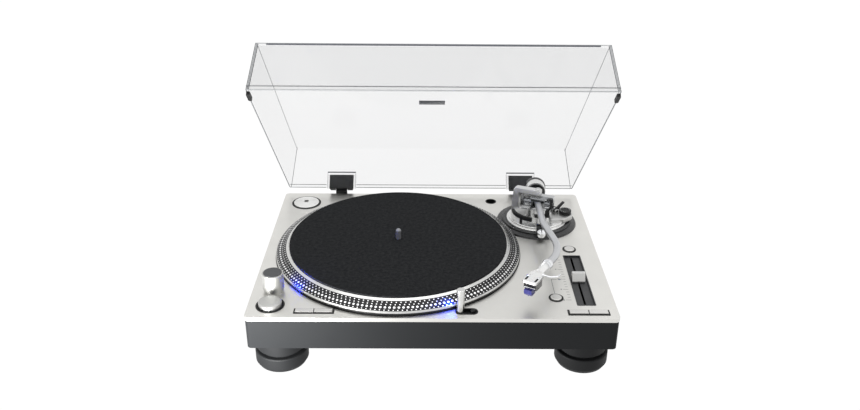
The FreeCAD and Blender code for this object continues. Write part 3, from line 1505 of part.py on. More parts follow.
def panel_liners():
    """The black cups and frames set in the panel."""
    stem = s.key_stem + s.seat_gap
    ring_wall = s.button_ring - s.flange * 1.2 - s.button_radius - s.seat_gap
    start_bore = s.key_stem * 2 + s.seat_gap
    return group("panel_liners", [
        cup("start_cup", s.start_ring, s.cup_wall, s.cup_deep, start_bore, s.start_x, s.start_y),
        cup("adaptor_cup", s.adaptor_ring, s.cup_wall, s.adaptor_deep, stem, s.adaptor_x, s.adaptor_y),
        cup("reset_ring", s.button_ring, ring_wall, s.panel_thick, stem, s.reset_x, s.reset_y),
        cup("quartz_ring", s.button_ring, ring_wall, s.panel_thick, stem, s.quartz_x, s.quartz_y),
        key_surround("speed_key_frame", *SPEED_KEYS),
        key_surround("range_key_frame", *RANGE_KEYS),
        headshell_socket(),
        lamp_tray(),
    ])


# Tonearm base


def arm_mount_ring():
    made = Piece("arm_mount_ring")
    floor = -s.mount_floor
    bore = s.column_radius + s.fit
    outer = s.mount_inner + s.mount_wall
    made.turn([
        (s.mount_radius, 0), (s.mount_shoulder, s.mount_shoulder_rise), (s.mount_inner, s.mount_rise),
        (s.mount_inner, floor), (bore, floor), (bore, -s.sleeve_deep), (s.sleeve_radius, -s.sleeve_deep),
        (s.sleeve_radius, -s.panel_thick), (outer, -s.panel_thick), (outer, 0),
    ])
    rear = s.mount_inner + s.fit
    lug = polygon([
        (-s.lock_foot, 1.5), (-s.lock_foot, s.mount_rise), (-s.lock_front, s.mount_rise + 1.4),
        (-s.lock_front, s.lock_rise), (-s.lock_rear, s.lock_rise), (-s.lock_rear, s.ring_rise + 1),
        (-rear, s.ring_rise + 1), (-rear, 1.5),
    ])
    made.pad([lug], -s.lock_wide / 2, s.lock_wide, "YZ_Plane")
    hole = circle(0, s.lock_axis_rise, s.lock_stem + s.fit)
    made.pocket([hole], s.lock_front, s.lock_reach + s.seat_gap, "XZ_Plane")
    well = circle(s.platter_x - s.arm_x, s.platter_y - s.arm_y, s.platter_radius + s.well_gap)
    made.pocket([well], s.mount_rise, s.mount_rise - s.well_floor)
    made.put(PIVOT)
    return node(made)


def height_ring():
    made = Piece("height_ring")
    low = s.seat_gap - s.mount_floor
    made.turn([
        (s.ring_inner, low), (s.ring_outer, low), (s.ring_outer, s.ring_rise, s.edge * 2),
        (s.ring_inner, s.ring_rise, s.edge),
    ])
    made.put(PIVOT)
    return node(made)


def arm_base():
    made = Piece("arm_base")
    low = s.seat_gap - s.mount_floor
    made.turn([
        (0, -s.column_deep), (s.column_radius, -s.column_deep), (s.column_radius, low), (s.base_radius, low),
        (s.base_radius, s.base_rise, 1), (s.step_radius, s.base_rise), (s.step_radius, s.step_rise, 1),
        (s.post_r, s.step_rise), (s.post_r, s.frame_low - s.seat_gap), (s.spigot_r, s.frame_low - s.seat_gap),
        (s.spigot_r, s.spigot_rise), (0, s.spigot_rise),
    ])
    middle = (s.lift_inner + s.lift_outer) / 2
    x = middle * cosine(s.lift_rod_angle)
    y = middle * sine(s.lift_rod_angle)
    made.pocket([circle(x, y, s.lift_rod + s.fit)], s.step_rise, s.step_rise + s.mount_floor)
    made.put(PIVOT)
    return node(made)


def bearing_bracket():
    made = Piece("bearing_bracket")
    bar_low = s.bracket_rise - s.bracket_bar
    outline = polygon([
        (-s.bracket_foot, s.step_rise), (-s.bracket_head, s.bracket_rise - s.bracket_bevel),
        (-s.bracket_head + s.bracket_bevel, s.bracket_rise), (s.bracket_reach, s.bracket_rise),
        (s.bracket_reach, bar_low), (-s.bracket_inner, bar_low), (-s.bracket_inner, s.bracket_foot_rise),
        (-s.bracket_toe, s.bracket_foot_rise), (-s.bracket_toe, s.step_rise),
    ])
    made.pad([outline], -s.bracket_half, s.bracket_half * 2, "XZ_Plane")
    made.pocket([circle(0, 0, s.screw_r)], s.bracket_rise, s.bracket_bar)
    made.put(GIMBAL)
    return group("bearing_bridge", [made, pivot_screw()])


def pivot_screw():
    made = Piece("pivot_screw")
    top = s.bracket_rise + s.screw_cap_high
    foot = s.frame_rise - s.frame_bar + s.screw_tip
    made.turn([
        (0, foot), (s.screw_r, foot), (s.screw_r, s.bracket_rise),
        (s.screw_cap, s.bracket_rise), (s.screw_cap, top, 0.5), (0, top),
    ])
    made.pocket([box(-s.screw_cap, -0.5, s.screw_cap, 0.5)], top, 1)
    made.put(GIMBAL)
    return made


def lock_knob():
    made = Piece("height_lock_knob")
    face = s.lock_front + s.seat_gap
    reach = s.lock_knob_long
    made.turn([
        (0, s.lock_front - s.lock_reach), (s.lock_stem, s.lock_front - s.lock_reach), (s.lock_stem, face),
        (s.lock_knob * 0.75, face), (s.lock_knob, face + reach * 0.35, 2),
        (s.lock_knob * 0.9, face + reach * 0.8, 2), (s.lock_knob * 0.4, face + reach), (0, face + reach),
    ])
    made.put(PIVOT * frame(0, 0, s.lock_axis_rise, X_AXIS, 90))
    return node(made)


# Gimbal and tonearm


def gimbal_frame():
    made = Piece("gimbal_frame")
    half = s.frame_half
    bar = s.frame_bar
    outer = box(-half, s.frame_low, half, s.frame_rise, s.frame_round)
    inner = box(bar - half, s.frame_low + bar, half - bar, s.frame_rise - bar)
    made.pad([outer, inner], -s.frame_depth, s.frame_depth * 2, "XZ_Plane")
    made.pocket([circle(0, 0, s.screw_r + s.fit)], s.frame_rise, bar)
    made.pocket([circle(0, 0, s.spigot_r + s.fit)], s.frame_low + bar, bar)
    shaft = circle(0, s.pivot_rise, s.pin_r + s.fit)
    made.pocket([shaft], half, half * 2, "YZ_Plane")
    made.put(GIMBAL)
    return node(made)


def arm_housing():
    """The block in line with the tube, with the drums of the lift shaft across it."""
    made = Piece("arm_block")
    across = cosine(s.gimbal_angle)
    along = sine(s.gimbal_angle)
    half = s.block_half
    front = s.block_front
    plan = []
    for x, y in ((-1, -1), (1, -1), (1, 1), (-1, 1)):
        right = across * half * x - along * front * y
        rear = along * half * x + across * front * y
        plan.append((right, rear, s.block_round))
    made.pad([polygon(plan)], -s.block_high, s.block_high * 2)
    drums = s.frame_half - s.frame_bar - s.drum_gap
    pins = s.frame_half - s.drum_gap
    made.pad([circle(0, 0, s.drum_radius)], -drums, drums * 2, "YZ_Plane")
    made.pad([circle(0, 0, s.pin_r)], -pins, pins * 2, "YZ_Plane")
    made.put(ARM * frame(0, 0, 0, Z_AXIS, -s.gimbal_angle))
    return group("arm_housing", [made, rear_shaft()])


def tube_route():
    """Bends of the arm tube in the arm's plane, from the housing to the locking nut."""
    start = -s.block_front - s.seat_gap
    end_x = s.nut_x - (s.nut_half - 0.5) * sine(s.offset_angle)
    end_y = s.nut_y - (s.nut_half - 0.5) * cosine(s.offset_angle)
    return [
        (0, start), (0, s.bend_one_y, s.tube_bend), (s.bend_two_x, s.bend_two_y, s.tube_bend), (end_x, end_y),
    ]


def arm_tube():
    made = Piece("arm_tube")
    made.pipe(tube_route(), (s.tube_radius, s.tube_radius - s.tube_wall))
    made.put(ARM)
    return node(made)


def rear_shaft():
    made = Piece("rear_shaft")
    made.turn([(0, s.shaft_start), (s.shaft_r, s.shaft_start), (s.shaft_r, s.shaft_end), (0, s.shaft_end)])
    made.put(REAR)
    return made


def counterweight():
    made = Piece("counterweight")
    bore = s.shaft_r + s.fit
    start = s.weight_start
    end = s.weight_end
    made.turn([(bore, start), (s.weight_radius, start, s.edge), (s.weight_radius, end), (bore, end)])
    made.put(REAR)
    node(made)
    cap = Piece("counterweight_cap")
    cap.turn([(bore, end), (s.cap_radius, end, s.edge), (s.cap_radius, s.cap_end, s.edge), (bore, s.cap_end)])
    cap.put(REAR)
    node(cap)


def force_ring():
    made = Piece("force_ring")
    bore = s.shaft_r + s.fit
    floor = (s.ring_start + s.weight_start) / 2
    made.turn([
        (bore, floor), (s.weight_recess, floor), (s.weight_recess, s.ring_start),
        (s.ring_r, s.ring_start, s.edge), (s.ring_r, s.weight_start), (bore, s.weight_start),
    ])
    made.put(REAR)
    return node(made)


def locking_nut():
    made = Piece("locking_nut")
    bore = s.tube_radius + s.fit
    half = s.nut_half
    made.turn([
        (bore, -half), (s.nut_radius - 1, -half), (s.nut_radius, 1 - half), (s.nut_radius, -1),
        (s.nut_ring, -1), (s.nut_ring, 2), (s.nut_radius, 2), (s.nut_radius, half), (bore, half),
    ])
    made.put(HEAD * frame(0, 0, 0, X_AXIS, 90))
    return node(made)


def headshell():
    """The plate that carries the cartridge, its neck and its plug, forward along local -Y."""
    made = Piece("headshell")
    rear = s.shell_wide_rear / 2
    half = s.shell_wide / 2
    low = s.shell_top - s.shell_thick
    plate = polygon([
        (-rear, -s.shell_start, 2), (-half, -s.shell_taper, 6), (-half, -s.shell_front, 2.5),
        (half, -s.shell_front, 2.5), (half, -s.shell_taper, 6), (rear, -s.shell_start, 2),
    ])
    made.pad([plate], low, s.shell_thick)
    made.chamfer(flat_edges(s.shell_top), s.edge)
    slots = [oblong(x * s.slot_lat, -s.slot_start, x * s.slot_lat, -s.slot_end, s.slot_r) for x in (-1, 1)]
    made.pocket(slots, s.shell_top, s.shell_thick)
    neck = s.shell_start + s.neck_lap
    made.pad([circle(0, 0, s.neck_radius)], s.nut_half + s.liner_gap, neck - s.nut_half, "XZ_Plane")
    made.put(HEAD)
    return node(made)


def cartridge():
    made = Piece("cartridge")
    low = s.shell_top - s.shell_thick
    half = s.cart_wide / 2
    side = polygon([
        (-s.cart_start, low), (-s.cart_end, low), (-s.cart_end, low - s.cart_high * 0.7),
        (-s.cart_end + s.cart_nose, low - s.cart_high), (-s.cart_start, low - s.cart_high),
    ])
    made.pad([side], -half, s.cart_wide, "YZ_Plane")
    made.put(HEAD)
    node(made)


def stylus():
    """The stylus holder under the cartridge's nose, with its needle."""
    made = Piece("stylus")
    under = s.shell_top - s.shell_thick - s.cart_high
    half = s.stylus_wide / 2
    brow = under + s.cart_high * 0.3
    side = polygon([
        (-s.stylus_start, under), (-s.cart_end + s.cart_nose, under), (-s.cart_end - s.liner_gap, brow),
        (-s.stylus_end, brow), (-s.stylus_end, -s.stylus_drop + 3),
        (-s.stylus_end + 2, -s.stylus_drop), (-s.stylus_start, -s.stylus_drop),
    ])
    made.pad([side], -half, s.stylus_wide, "YZ_Plane")
    tip = -s.needle_drop
    root = -s.stylus_drop + 0.5
    needle = circle(0, -s.needle_s, s.needle_r)
    made.pad([needle], tip, root - tip)
    made.put(HEAD)
    return node(made)


def headshell_screws():
    """Two screws through the plate's slots into the cartridge."""
    screws = []
    place = (s.cart_start + s.cart_end) / 2
    for name, side in (("left", -1), ("right", 1)):
        screw = Piece(f"cartridge_screw_{name}")
        low = s.shell_top - s.shell_thick
        top = s.shell_top + s.shell_screw_high
        shank = s.slot_r - s.liner_gap
        screw.turn([
            (0, low), (shank, low), (shank, s.shell_top), (s.shell_screw, s.shell_top),
            (s.shell_screw, top, 0.4), (0, top),
        ])
        screw.put(HEAD * frame(side * s.slot_lat, -place))
        screws.append(screw)
    return screws


def finger_lift():
    made = Piece("finger_lift")
    route = [
        (s.shell_wide / 2 - 1.5, -s.finger_s), (s.finger_reach * 0.7, -s.finger_s, 5),
        (s.finger_reach, -s.finger_tip - 6, 5), (s.finger_reach, -s.finger_tip),
    ]
    path = made.sketch([polygon(route, closed=False)])
    section = made.sketch([circle(-s.finger_s, 0, s.finger_r)], "YZ_Plane", s.shell_wide / 2 - 1.5)
    sweep = made.feature("AdditivePipe", section)
    sweep.Spine = (path, [])
    made.put(HEAD * frame(0, 0, s.shell_top + s.finger_r))
    return made


# Anti-skating, cueing and the arm rest


def antiskate_housing():
    made = Piece("antiskate_plate")
    left = s.skate_left
    right = s.skate_right
    front = s.skate_front
    back = s.skate_back
    slant = s.skate_slant
    wide = s.skate_round
    outline = polygon([
        (left, front, wide / 4), (right - slant, front, wide), (right, front + slant, wide),
        (right, back, wide / 2), (left, back, wide / 4),
    ])
    made.pad([outline], s.skate_skirt, s.skate_top - s.skate_skirt)
    made.chamfer(flat_edges(s.skate_top), 0.8)
    disc = circle(0, 0, s.step_radius + s.seat_gap)
    made.pocket([disc], s.step_rise, s.step_rise - s.skate_skirt)
    made.put(PIVOT)
    return group("antiskate_housing", [made] + lever_cheeks())


def antiskate_dial():
    made = Piece("antiskate_dial")
    made.turn([
        (0, s.skate_low), (s.skate_radius, s.skate_low), (s.skate_radius, s.skate_rise, 0.8),
        (s.skate_radius * 0.6, s.skate_rise), (s.skate_radius * 0.55, s.skate_rise - s.edge),
        (0, s.skate_rise - s.edge),
    ])
    made.put(PIVOT * frame(s.dial_rel_x, s.dial_rel_y))
    return node(made)


def lever_cheeks():
    """The two cheeks that carry the cue lever's pin."""
    cheeks = []
    half = s.lever_wide / 2 + s.seat_gap
    seat = s.skate_top - s.lever_rise
    for name, start in (("left", half), ("right", -half - s.cheek)):
        cheek = Piece(f"lever_cheek_{name}")
        cheek.pad([box(-s.cheek_half, seat, s.cheek_half, s.cheek_over)], start, s.cheek, "XZ_Plane")
        bore = circle(0, 0, s.lever_pin + s.fit)
        cheek.pocket([bore], start + s.cheek, s.cheek, "XZ_Plane")
        cheek.put(LEVER)
        cheeks.append(cheek)
    return cheeks


def cue_lever():
    made = Piece("cue_lever")
    thick = s.lever_wide
    side = polygon([(-2, -1.6, 0.8), (3, -1.6, 0.5), (s.lever_long, -0.9, 0.6), (s.lever_long, 0.9, 0.6),
                    (3, 1.8, 0.5), (-2, 1.8, 0.8)])
    made.pad([side], -thick / 2, thick, "XZ_Plane")
    reach = thick / 2 + s.seat_gap + s.cheek
    made.pad([circle(0, 0, s.lever_pin)], -reach, reach * 2, "XZ_Plane")
    made.put(LEVER * frame(0, 0, 0, Y_AXIS, -s.lever_slope))
    return node(made)


def cue_lift():
    made = Piece("cue_lift")
    bar = sector(s.lift_inner, s.lift_outer, s.lift_from, s.lift_to)
    made.pad([bar], s.lift_low, s.lift_rise - s.lift_low)
    middle = (s.lift_inner + s.lift_outer) / 2
    x = middle * cosine(s.lift_rod_angle)
    y = middle * sine(s.lift_rod_angle)
    made.pad([circle(x, y, s.lift_rod)], -s.mount_floor / 2, s.lift_low + s.mount_floor / 2 + 1)
    made.put(PIVOT)
    return node(made)


def arm_rest():
    """The cradle on its post, with two ears that carry the clip's pin."""
    made = Piece("arm_rest")
    y = s.rest_y
    half = s.rest_half
    made.pad([circle(s.rest_x, y, s.rest_post)], s.step_rise, s.rest_low - s.step_rise + 1)
    cradle = polygon([
        (s.rest_left, s.rest_low), (s.rest_right, s.rest_low), (s.rest_right, s.rest_rise),
        (s.rest_wall, s.rest_rise), (s.rest_wall, s.rest_seat), (s.rest_left, s.rest_seat),
    ])
    made.pad([cradle], -y - half, half * 2, "XZ_Plane")
    x, rise = clip_axis()
    ear = box(x - s.clip_ear, s.rest_rise - 1, x + s.clip_ear, rise + s.clip_ear, s.edge)
    for start in (-y - half, -y + half - s.clip_wall):
        made.pad([ear], start, s.clip_wall, "XZ_Plane")
    made.pocket([circle(x, rise, s.clip_pin + s.fit)], half - y, half * 2, "XZ_Plane")
    made.put(PIVOT)
    return node(made)


def clip_axis():
    """Where the clip's pin stands beside the pivot, and its rise."""
    return (s.rest_wall + s.rest_right) / 2, s.rest_rise + s.clip_thick / 2 + s.seat_gap


def arm_clip():
    """The clip, standing open on the cradle's right wall and arched so that it closes over the tube."""
    made = Piece("arm_clip")
    reach = s.rest_half
    half = reach - s.clip_wall - s.seat_gap
    half_thick = s.clip_thick / 2
    arch = s.clip_arch
    far = arch + s.clip_thick
    hook = -s.clip_hook
    bevel = half_thick / 2
    side = polygon([
        (-bevel, -half_thick), (bevel, -half_thick), (half_thick, -bevel), (far, arch),
        (far, s.clip_long), (hook, s.clip_long), (hook, s.clip_long - s.clip_thick),
        (arch, s.clip_long - s.clip_thick), (arch, far), (-half_thick, bevel), (-half_thick, -bevel),
    ])
    made.pad([side], -half, half * 2, "XZ_Plane")
    made.pad([circle(0, 0, s.clip_pin)], -reach, reach * 2, "XZ_Plane")
    x, rise = clip_axis()
    made.put(PIVOT * frame(x, s.rest_y, rise))
    return node(made)


top_panel()
base_housing()
base_screws()
feet()
platter()
spindle()
slipmat()
magnet_ring()
bearing_housing()
motor_stator()
main_board()
transformer()
rear_sockets()
line_switch()
dust_cover()
group("cover_fittings", cover_hinge_leaves() + cover_bumpers())
hinge_brackets()
start_button()
power_dial()
group("fixed_lamps", [strobe_collar(), pitch_tray()])
keys(("speed_key_33", "speed_key_45"), *SPEED_KEYS)
keys(("range_key", "reverse_key"), *RANGE_KEYS)
round_button("reset_button", s.reset_x, s.reset_y)
round_button("quartz_button", s.quartz_x, s.quartz_y)
pitch_fader()
target_lamp()
release_button()
record_adaptor()
panel_liners()
arm_mount_ring()
height_ring()
arm_base()
bearing_bracket()
lock_knob()
gimbal_frame()
arm_housing()
arm_tube()
counterweight()
force_ring()
locking_nut()
headshell()
cartridge()
stylus()
group("headshell_fittings", headshell_screws() + [finger_lift()])
antiskate_housing()
antiskate_dial()
cue_lever()
cue_lift()
arm_rest()
arm_clip()

doc.recompute()
for item in doc.Objects:
    if "Invalid" in item.State or "Error" in item.State:
        raise RuntimeError(f"{item.Label} failed: {item.State}")
for name, item in NODES.items():
    if item.Shape.isNull() or not item.Shape.isValid() or not item.Shape.Solids:
        raise RuntimeError(f"{name} has no sound shape")
os.makedirs("parts", exist_ok=True)
for name, item in NODES.items():
    item.Shape.exportStep(f"parts/{name}.step")
print(f"{len(NODES)} nodes")
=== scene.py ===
"""A direct drive turntable with its clear cover open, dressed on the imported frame.

Every place on the turntable is given in millimetres from the middle of the plinth, with heights over the
top panel's face, and is turned to metres in the frame's own axes by one function.
"""

import logging
import math
from dataclasses import dataclass
from enum import Enum
from typing import Iterable, Sequence

import bmesh
import bpy
from mathutils import Matrix, Vector

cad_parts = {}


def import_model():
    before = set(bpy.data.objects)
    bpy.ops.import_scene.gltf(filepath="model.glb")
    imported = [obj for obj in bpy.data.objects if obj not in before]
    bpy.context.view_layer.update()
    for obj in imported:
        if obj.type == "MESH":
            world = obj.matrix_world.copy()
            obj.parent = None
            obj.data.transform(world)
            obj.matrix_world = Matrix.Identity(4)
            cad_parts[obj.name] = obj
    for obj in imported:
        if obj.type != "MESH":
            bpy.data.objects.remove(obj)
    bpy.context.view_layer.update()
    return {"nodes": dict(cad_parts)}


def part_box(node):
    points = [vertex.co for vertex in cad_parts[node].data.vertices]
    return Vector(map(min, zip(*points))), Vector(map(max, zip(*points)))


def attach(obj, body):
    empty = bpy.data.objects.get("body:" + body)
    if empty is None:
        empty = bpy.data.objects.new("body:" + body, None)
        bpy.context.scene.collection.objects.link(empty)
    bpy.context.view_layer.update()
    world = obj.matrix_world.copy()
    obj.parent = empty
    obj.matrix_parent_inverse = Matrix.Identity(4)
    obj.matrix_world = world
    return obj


Mesh = bmesh.types.BMesh
Node = bpy.types.Node
Pair = tuple[float, float]
Socket = bpy.types.NodeSocket
Tree = bpy.types.NodeTree
Triple = tuple[float, float, float]

log = logging.getLogger("turntable")
MM = 0.001
PHOTO_WIDTH = 860
ROUND_STEPS = 240
COAT_ROUGHNESS = 0.08
WAVE_BANDS = 20


# Colour, nodes and placement


def linear(hex_colour: str) -> tuple[float, ...]:
    """Turn an sRGB hex colour into the linear values that a shader takes.

    Args:
        hex_colour: Six hex digits after a hash.

    Returns:
        Red, green, blue and an alpha of one.
    """
    parts = [int(hex_colour[i:i + 2], 16) / 255 for i in (1, 3, 5)]
    flat = [c / 12.92 if c <= 0.04045 else ((c + 0.055) / 1.055) ** 2.4 for c in parts]
    return flat[0], flat[1], flat[2], 1.0


def add_node(tree: Tree, kind: str, settings: dict | None = None,
             links: dict | None = None) -> Node:
    """Add a node with its settings and the links into it.

    Args:
        tree: The material's node tree.
        kind: The node's type name.
        settings: Values by attribute name, or by input name or number.
        links: Sockets by the name or number of the input they feed.

    Returns:
        The new node.
    """
    node = tree.nodes.new(kind)
    for name, value in (settings or {}).items():
        if isinstance(name, str) and hasattr(node, name):
            setattr(node, name, value)
        else:
            node.inputs[name].default_value = value
    for name, socket in (links or {}).items():
        tree.links.new(socket, node.inputs[name])
    return node


def panel_point(x: float, y: float, rise: float) -> Vector:
    """Find a point given from the middle of the plinth.

    Args:
        x: Millimetres to the right.
        y: Millimetres to the rear.
        rise: Millimetres over the top panel's face.

    Returns:
        The point in metres, in the frame's axes.
    """
    low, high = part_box("top_panel")
    middle = (low + high) / 2
    return Vector((middle.x + x * MM, middle.y + y * MM, high.z + rise * MM))


def panel_frame(x: float, y: float, rise: float) -> Matrix:
    """Give the frame of local millimetres at a place of the panel.

    Args:
        x: Millimetres to the right of the plinth's middle.
        y: Millimetres to the rear of it.
        rise: Millimetres over the top panel's face.

    Returns:
        The matrix that turns the local millimetres into metres.
    """
    return Matrix.Translation(panel_point(x, y, rise)) @ Matrix.Scale(MM, 4)


def ray(turn: float) -> Vector:
    """Point outwards at an angle.

    Args:
        turn: The angle from the right, in radians.

    Returns:
        A unit vector in the local XY plane.
    """
    return Vector((math.cos(turn), math.sin(turn), 0))


def put(name: str, data: bpy.types.ID) -> bpy.types.Object:
    """Put a new object in the scene.

    Args:
        name: Its name.
        data: Its mesh, text, light or camera.

    Returns:
        The new object.
    """
    made = bpy.data.objects.new(name, data)
    bpy.context.scene.collection.objects.link(made)
    return made


def aim(made: bpy.types.Object, place: Vector, toward: Vector) -> None:
    """Stand a light at a place and turn it to a point.

    Args:
        made: The light.
        place: Where it stands, in metres.
        toward: What it faces.
    """
    made.location = place
    made.rotation_euler = (toward - place).to_track_quat("-Z", "Y").to_euler()


# Finishes


class Side(Enum):
    """Left or right of the plinth's middle line."""

    LEFT = -1
    RIGHT = 1


@dataclass(frozen=True)
class Finish:
    """A plain finish; the classes below add what the real surface shows close up."""

    name: str
    colour: str
    roughness: float
    metallic: float = 0.0
    ior: float = 1.5
    coat: float = 0.0
    gloss: float = 0.5

    def build(self) -> bpy.types.Material:
        """Make the material, unless it has been made.

        Returns:
            The material.
        """
        made = bpy.data.materials.get(self.name)
        if made:
            return made
        made = bpy.data.materials.new(self.name)
        made.use_nodes = True
        tree = made.node_tree
        shader = tree.nodes["Principled BSDF"]
        shader.inputs["Base Color"].default_value = linear(self.colour)
        shader.inputs["Roughness"].default_value = self.roughness
        shader.inputs["Metallic"].default_value = self.metallic
        if not self.metallic:
            shader.inputs["IOR"].default_value = self.ior
            shader.inputs["Specular IOR Level"].default_value = self.gloss
        if self.coat:
            shader.inputs["Coat Weight"].default_value = self.coat
            shader.inputs["Coat Roughness"].default_value = COAT_ROUGHNESS
        place = add_node(tree, "ShaderNodeTexCoord").outputs["Object"]
        self.detail(tree, shader, place)
        return made

    def detail(self, tree: Tree, shader: Node, place: Socket) -> None:
        """Add the surface's fine detail.

        Args:
            tree: The material's node tree.
            shader: Its principled shader.
            place: Object coordinates in metres.
        """
        self.vary_roughness(tree, shader, place, 8.0, 0.06)

    def vary_roughness(self, tree: Tree, shader: Node, place: Socket, size_mm: float,
                       amount: float) -> None:
        """Make the gloss uneven, as handling and polishing leave it.

        Args:
            tree: The material's node tree.
            shader: Its principled shader.
            place: Object coordinates in metres.
            size_mm: Size of a patch.
            amount: How far the roughness strays.
        """
        cloud = add_node(tree, "ShaderNodeTexNoise", {"Scale": 1 / (size_mm * MM), "Detail": 3.0},
                         {"Vector": place})
        spread = add_node(tree, "ShaderNodeMapRange",
                          {"From Min": 0.3, "From Max": 0.7, "To Min": max(0.02, self.roughness - amount),
                           "To Max": self.roughness + amount}, {"Value": cloud.outputs["Fac"]})
        tree.links.new(spread.outputs["Result"], shader.inputs["Roughness"])

    def bump(self, tree: Tree, shader: Node, height: Socket, depth_mm: float, strength: float) -> None:
        """Raise the surface by a height map.

        Args:
            tree: The material's node tree.
            shader: Its principled shader.
            height: The map, from nought to one.
            depth_mm: Full depth of the relief.
            strength: Share of it that shows.
        """
        relief = add_node(tree, "ShaderNodeBump", {"Strength": strength, "Distance": depth_mm * MM},
                          {"Height": height})
        tree.links.new(relief.outputs["Normal"], shader.inputs["Normal"])


@dataclass(frozen=True)
class BlastedAluminium(Finish):
    """Aluminium sheet, bead blasted and clear anodised: an even, fine sparkle with soft reflections."""

    grit_mm: float = 0.5
    relief_mm: float = 0.02
    mottle_mm: float = 45.0
    darkest: float = 0.94

    def detail(self, tree: Tree, shader: Node, place: Socket) -> None:
        """Add the blasted grit, drawn a little coarse so that it shows, and a faint mottle."""
        grit = add_node(tree, "ShaderNodeTexNoise", {"Scale": 1 / (self.grit_mm * MM), "Detail": 2.0},
                        {"Vector": place})
        self.bump(tree, shader, grit.outputs["Fac"], self.relief_mm, 0.25)
        cloud = add_node(tree, "ShaderNodeTexNoise", {"Scale": 1 / (self.mottle_mm * MM), "Detail": 4.0},
                         {"Vector": place})
        shade = add_node(tree, "ShaderNodeMapRange",
                         {"From Min": 0.3, "From Max": 0.7, "To Min": self.darkest, "To Max": 1.0},
                         {"Value": cloud.outputs["Fac"]})
        tint = add_node(tree, "ShaderNodeVectorMath", {"operation": "SCALE", 0: linear(self.colour)[:3]},
                        {"Scale": shade.outputs["Result"]})
        tree.links.new(tint.outputs["Vector"], shader.inputs["Base Color"])


@dataclass(frozen=True)
class TurnedMetal(Finish):
    """Metal finished on a lathe: fine rings about the spindle's line, which stretch the highlights."""

    centre: Pair = (0.0, 0.0)
    pitch_mm: float = 0.6
    depth_mm: float = 0.006

    def detail(self, tree: Tree, shader: Node, place: Socket) -> None:
        """Add the tool's rings, drawn at a pitch that the render can hold."""
        middle = panel_point(*self.centre, 0)
        moved = add_node(tree, "ShaderNodeVectorMath",
                         {"operation": "SUBTRACT", 1: (middle.x, middle.y, 0.0)}, {0: place})
        rings = add_node(tree, "ShaderNodeTexWave",
                         {"wave_type": "RINGS", "rings_direction": "Z", "Distortion": 0.4, "Detail": 1.0,
                          "Scale": 1 / (self.pitch_mm * MM * WAVE_BANDS)},
                         {"Vector": moved.outputs["Vector"]})
        self.bump(tree, shader, rings.outputs["Fac"], self.depth_mm, 0.5)
        self.vary_roughness(tree, shader, place, 12.0, 0.05)


@dataclass(frozen=True)
class MouldedPlastic(Finish):
    """ABS moulded in a spark-eroded tool: a fine even grain that softens reflections."""

    grain_mm: float = 0.7
    depth_mm: float = 0.02

    def detail(self, tree: Tree, shader: Node, place: Socket) -> None:
        """Add the eroded grain."""
        grain = add_node(tree, "ShaderNodeTexVoronoi", {"Scale": 1 / (self.grain_mm * MM)},
                         {"Vector": place})
        self.bump(tree, shader, grain.outputs["Distance"], self.depth_mm, 0.35)
        self.vary_roughness(tree, shader, place, 20.0, 0.05)


@dataclass(frozen=True)
class WoolFelt(Finish):
    """Pressed wool felt: matt, with matted fibres and a pale bloom where the light grazes it."""

    fibre_mm: float = 0.9
    nap_mm: float = 0.35
    worn: str = "#2C2D2E"

    def detail(self, tree: Tree, shader: Node, place: Socket) -> None:
        """Add the matted fibres in relief and in colour, and the nap's sheen."""
        shader.inputs["Sheen Weight"].default_value = 0.03
        shader.inputs["Sheen Roughness"].default_value = 0.5
        shader.inputs["Sheen Tint"].default_value = linear("#8A8C90")
        fibre = add_node(tree, "ShaderNodeTexNoise",
                         {"Scale": 1 / (self.fibre_mm * MM), "Detail": 5.0, "Roughness": 0.75,
                          "Distortion": 1.5}, {"Vector": place})
        self.bump(tree, shader, fibre.outputs["Fac"], self.nap_mm, 0.6)
        tuft = add_node(tree, "ShaderNodeTexNoise",
                        {"Scale": 1 / (self.fibre_mm * MM * 5), "Detail": 3.0, "Roughness": 0.7},
                        {"Vector": place})
        nap = add_node(tree, "ShaderNodeMath", {"operation": "MULTIPLY"},
                       {0: fibre.outputs["Fac"], 1: tuft.outputs["Fac"]})
        spread = add_node(tree, "ShaderNodeMapRange", {"From Min": 0.12, "From Max": 0.4},
                          {"Value": nap.outputs["Value"]})
        mix = add_node(tree, "ShaderNodeMix",
                       {"data_type": "RGBA", 6: linear(self.colour), 7: linear(self.worn)},
                       {"Factor": spread.outputs["Result"]})
        tree.links.new(mix.outputs[2], shader.inputs["Base Color"])


@dataclass(frozen=True)
class ClearAcrylic(Finish):
    """Cast acrylic sheet: clear face on, milky grey where it is seen along its thickness."""

    face_alpha: float = 0.075
    edge_alpha: float = 0.15

    def detail(self, tree: Tree, shader: Node, place: Socket) -> None:
        """Let the sheet thicken in colour towards grazing angles."""
        facing = add_node(tree, "ShaderNodeLayerWeight", {"Blend": 0.35})
        veil = add_node(tree, "ShaderNodeMapRange",
                        {"From Min": 0.25, "From Max": 1.0, "To Min": self.face_alpha,
                         "To Max": self.edge_alpha}, {"Value": facing.outputs["Facing"]})
        tree.links.new(veil.outputs["Result"], shader.inputs["Alpha"])


@dataclass(frozen=True)
class Glow(Finish):
    """A lamp's lens of clear polycarbonate with the light behind it."""

    strength: float = 4.0

    def detail(self, tree: Tree, shader: Node, place: Socket) -> None:
        """Light the lens from within."""
        shader.inputs["Emission Color"].default_value = linear(self.colour)
        shader.inputs["Emission Strength"].default_value = self.strength


@dataclass(frozen=True)
class Backdrop(Glow):
    """Studio paper lit evenly from behind, so that nothing throws a shadow on it."""

    def detail(self, tree: Tree, shader: Node, place: Socket) -> None:
        """Light the paper and let it reflect nothing."""
        super().detail(tree, shader, place)
        shader.inputs["Base Color"].default_value = linear("#000000")


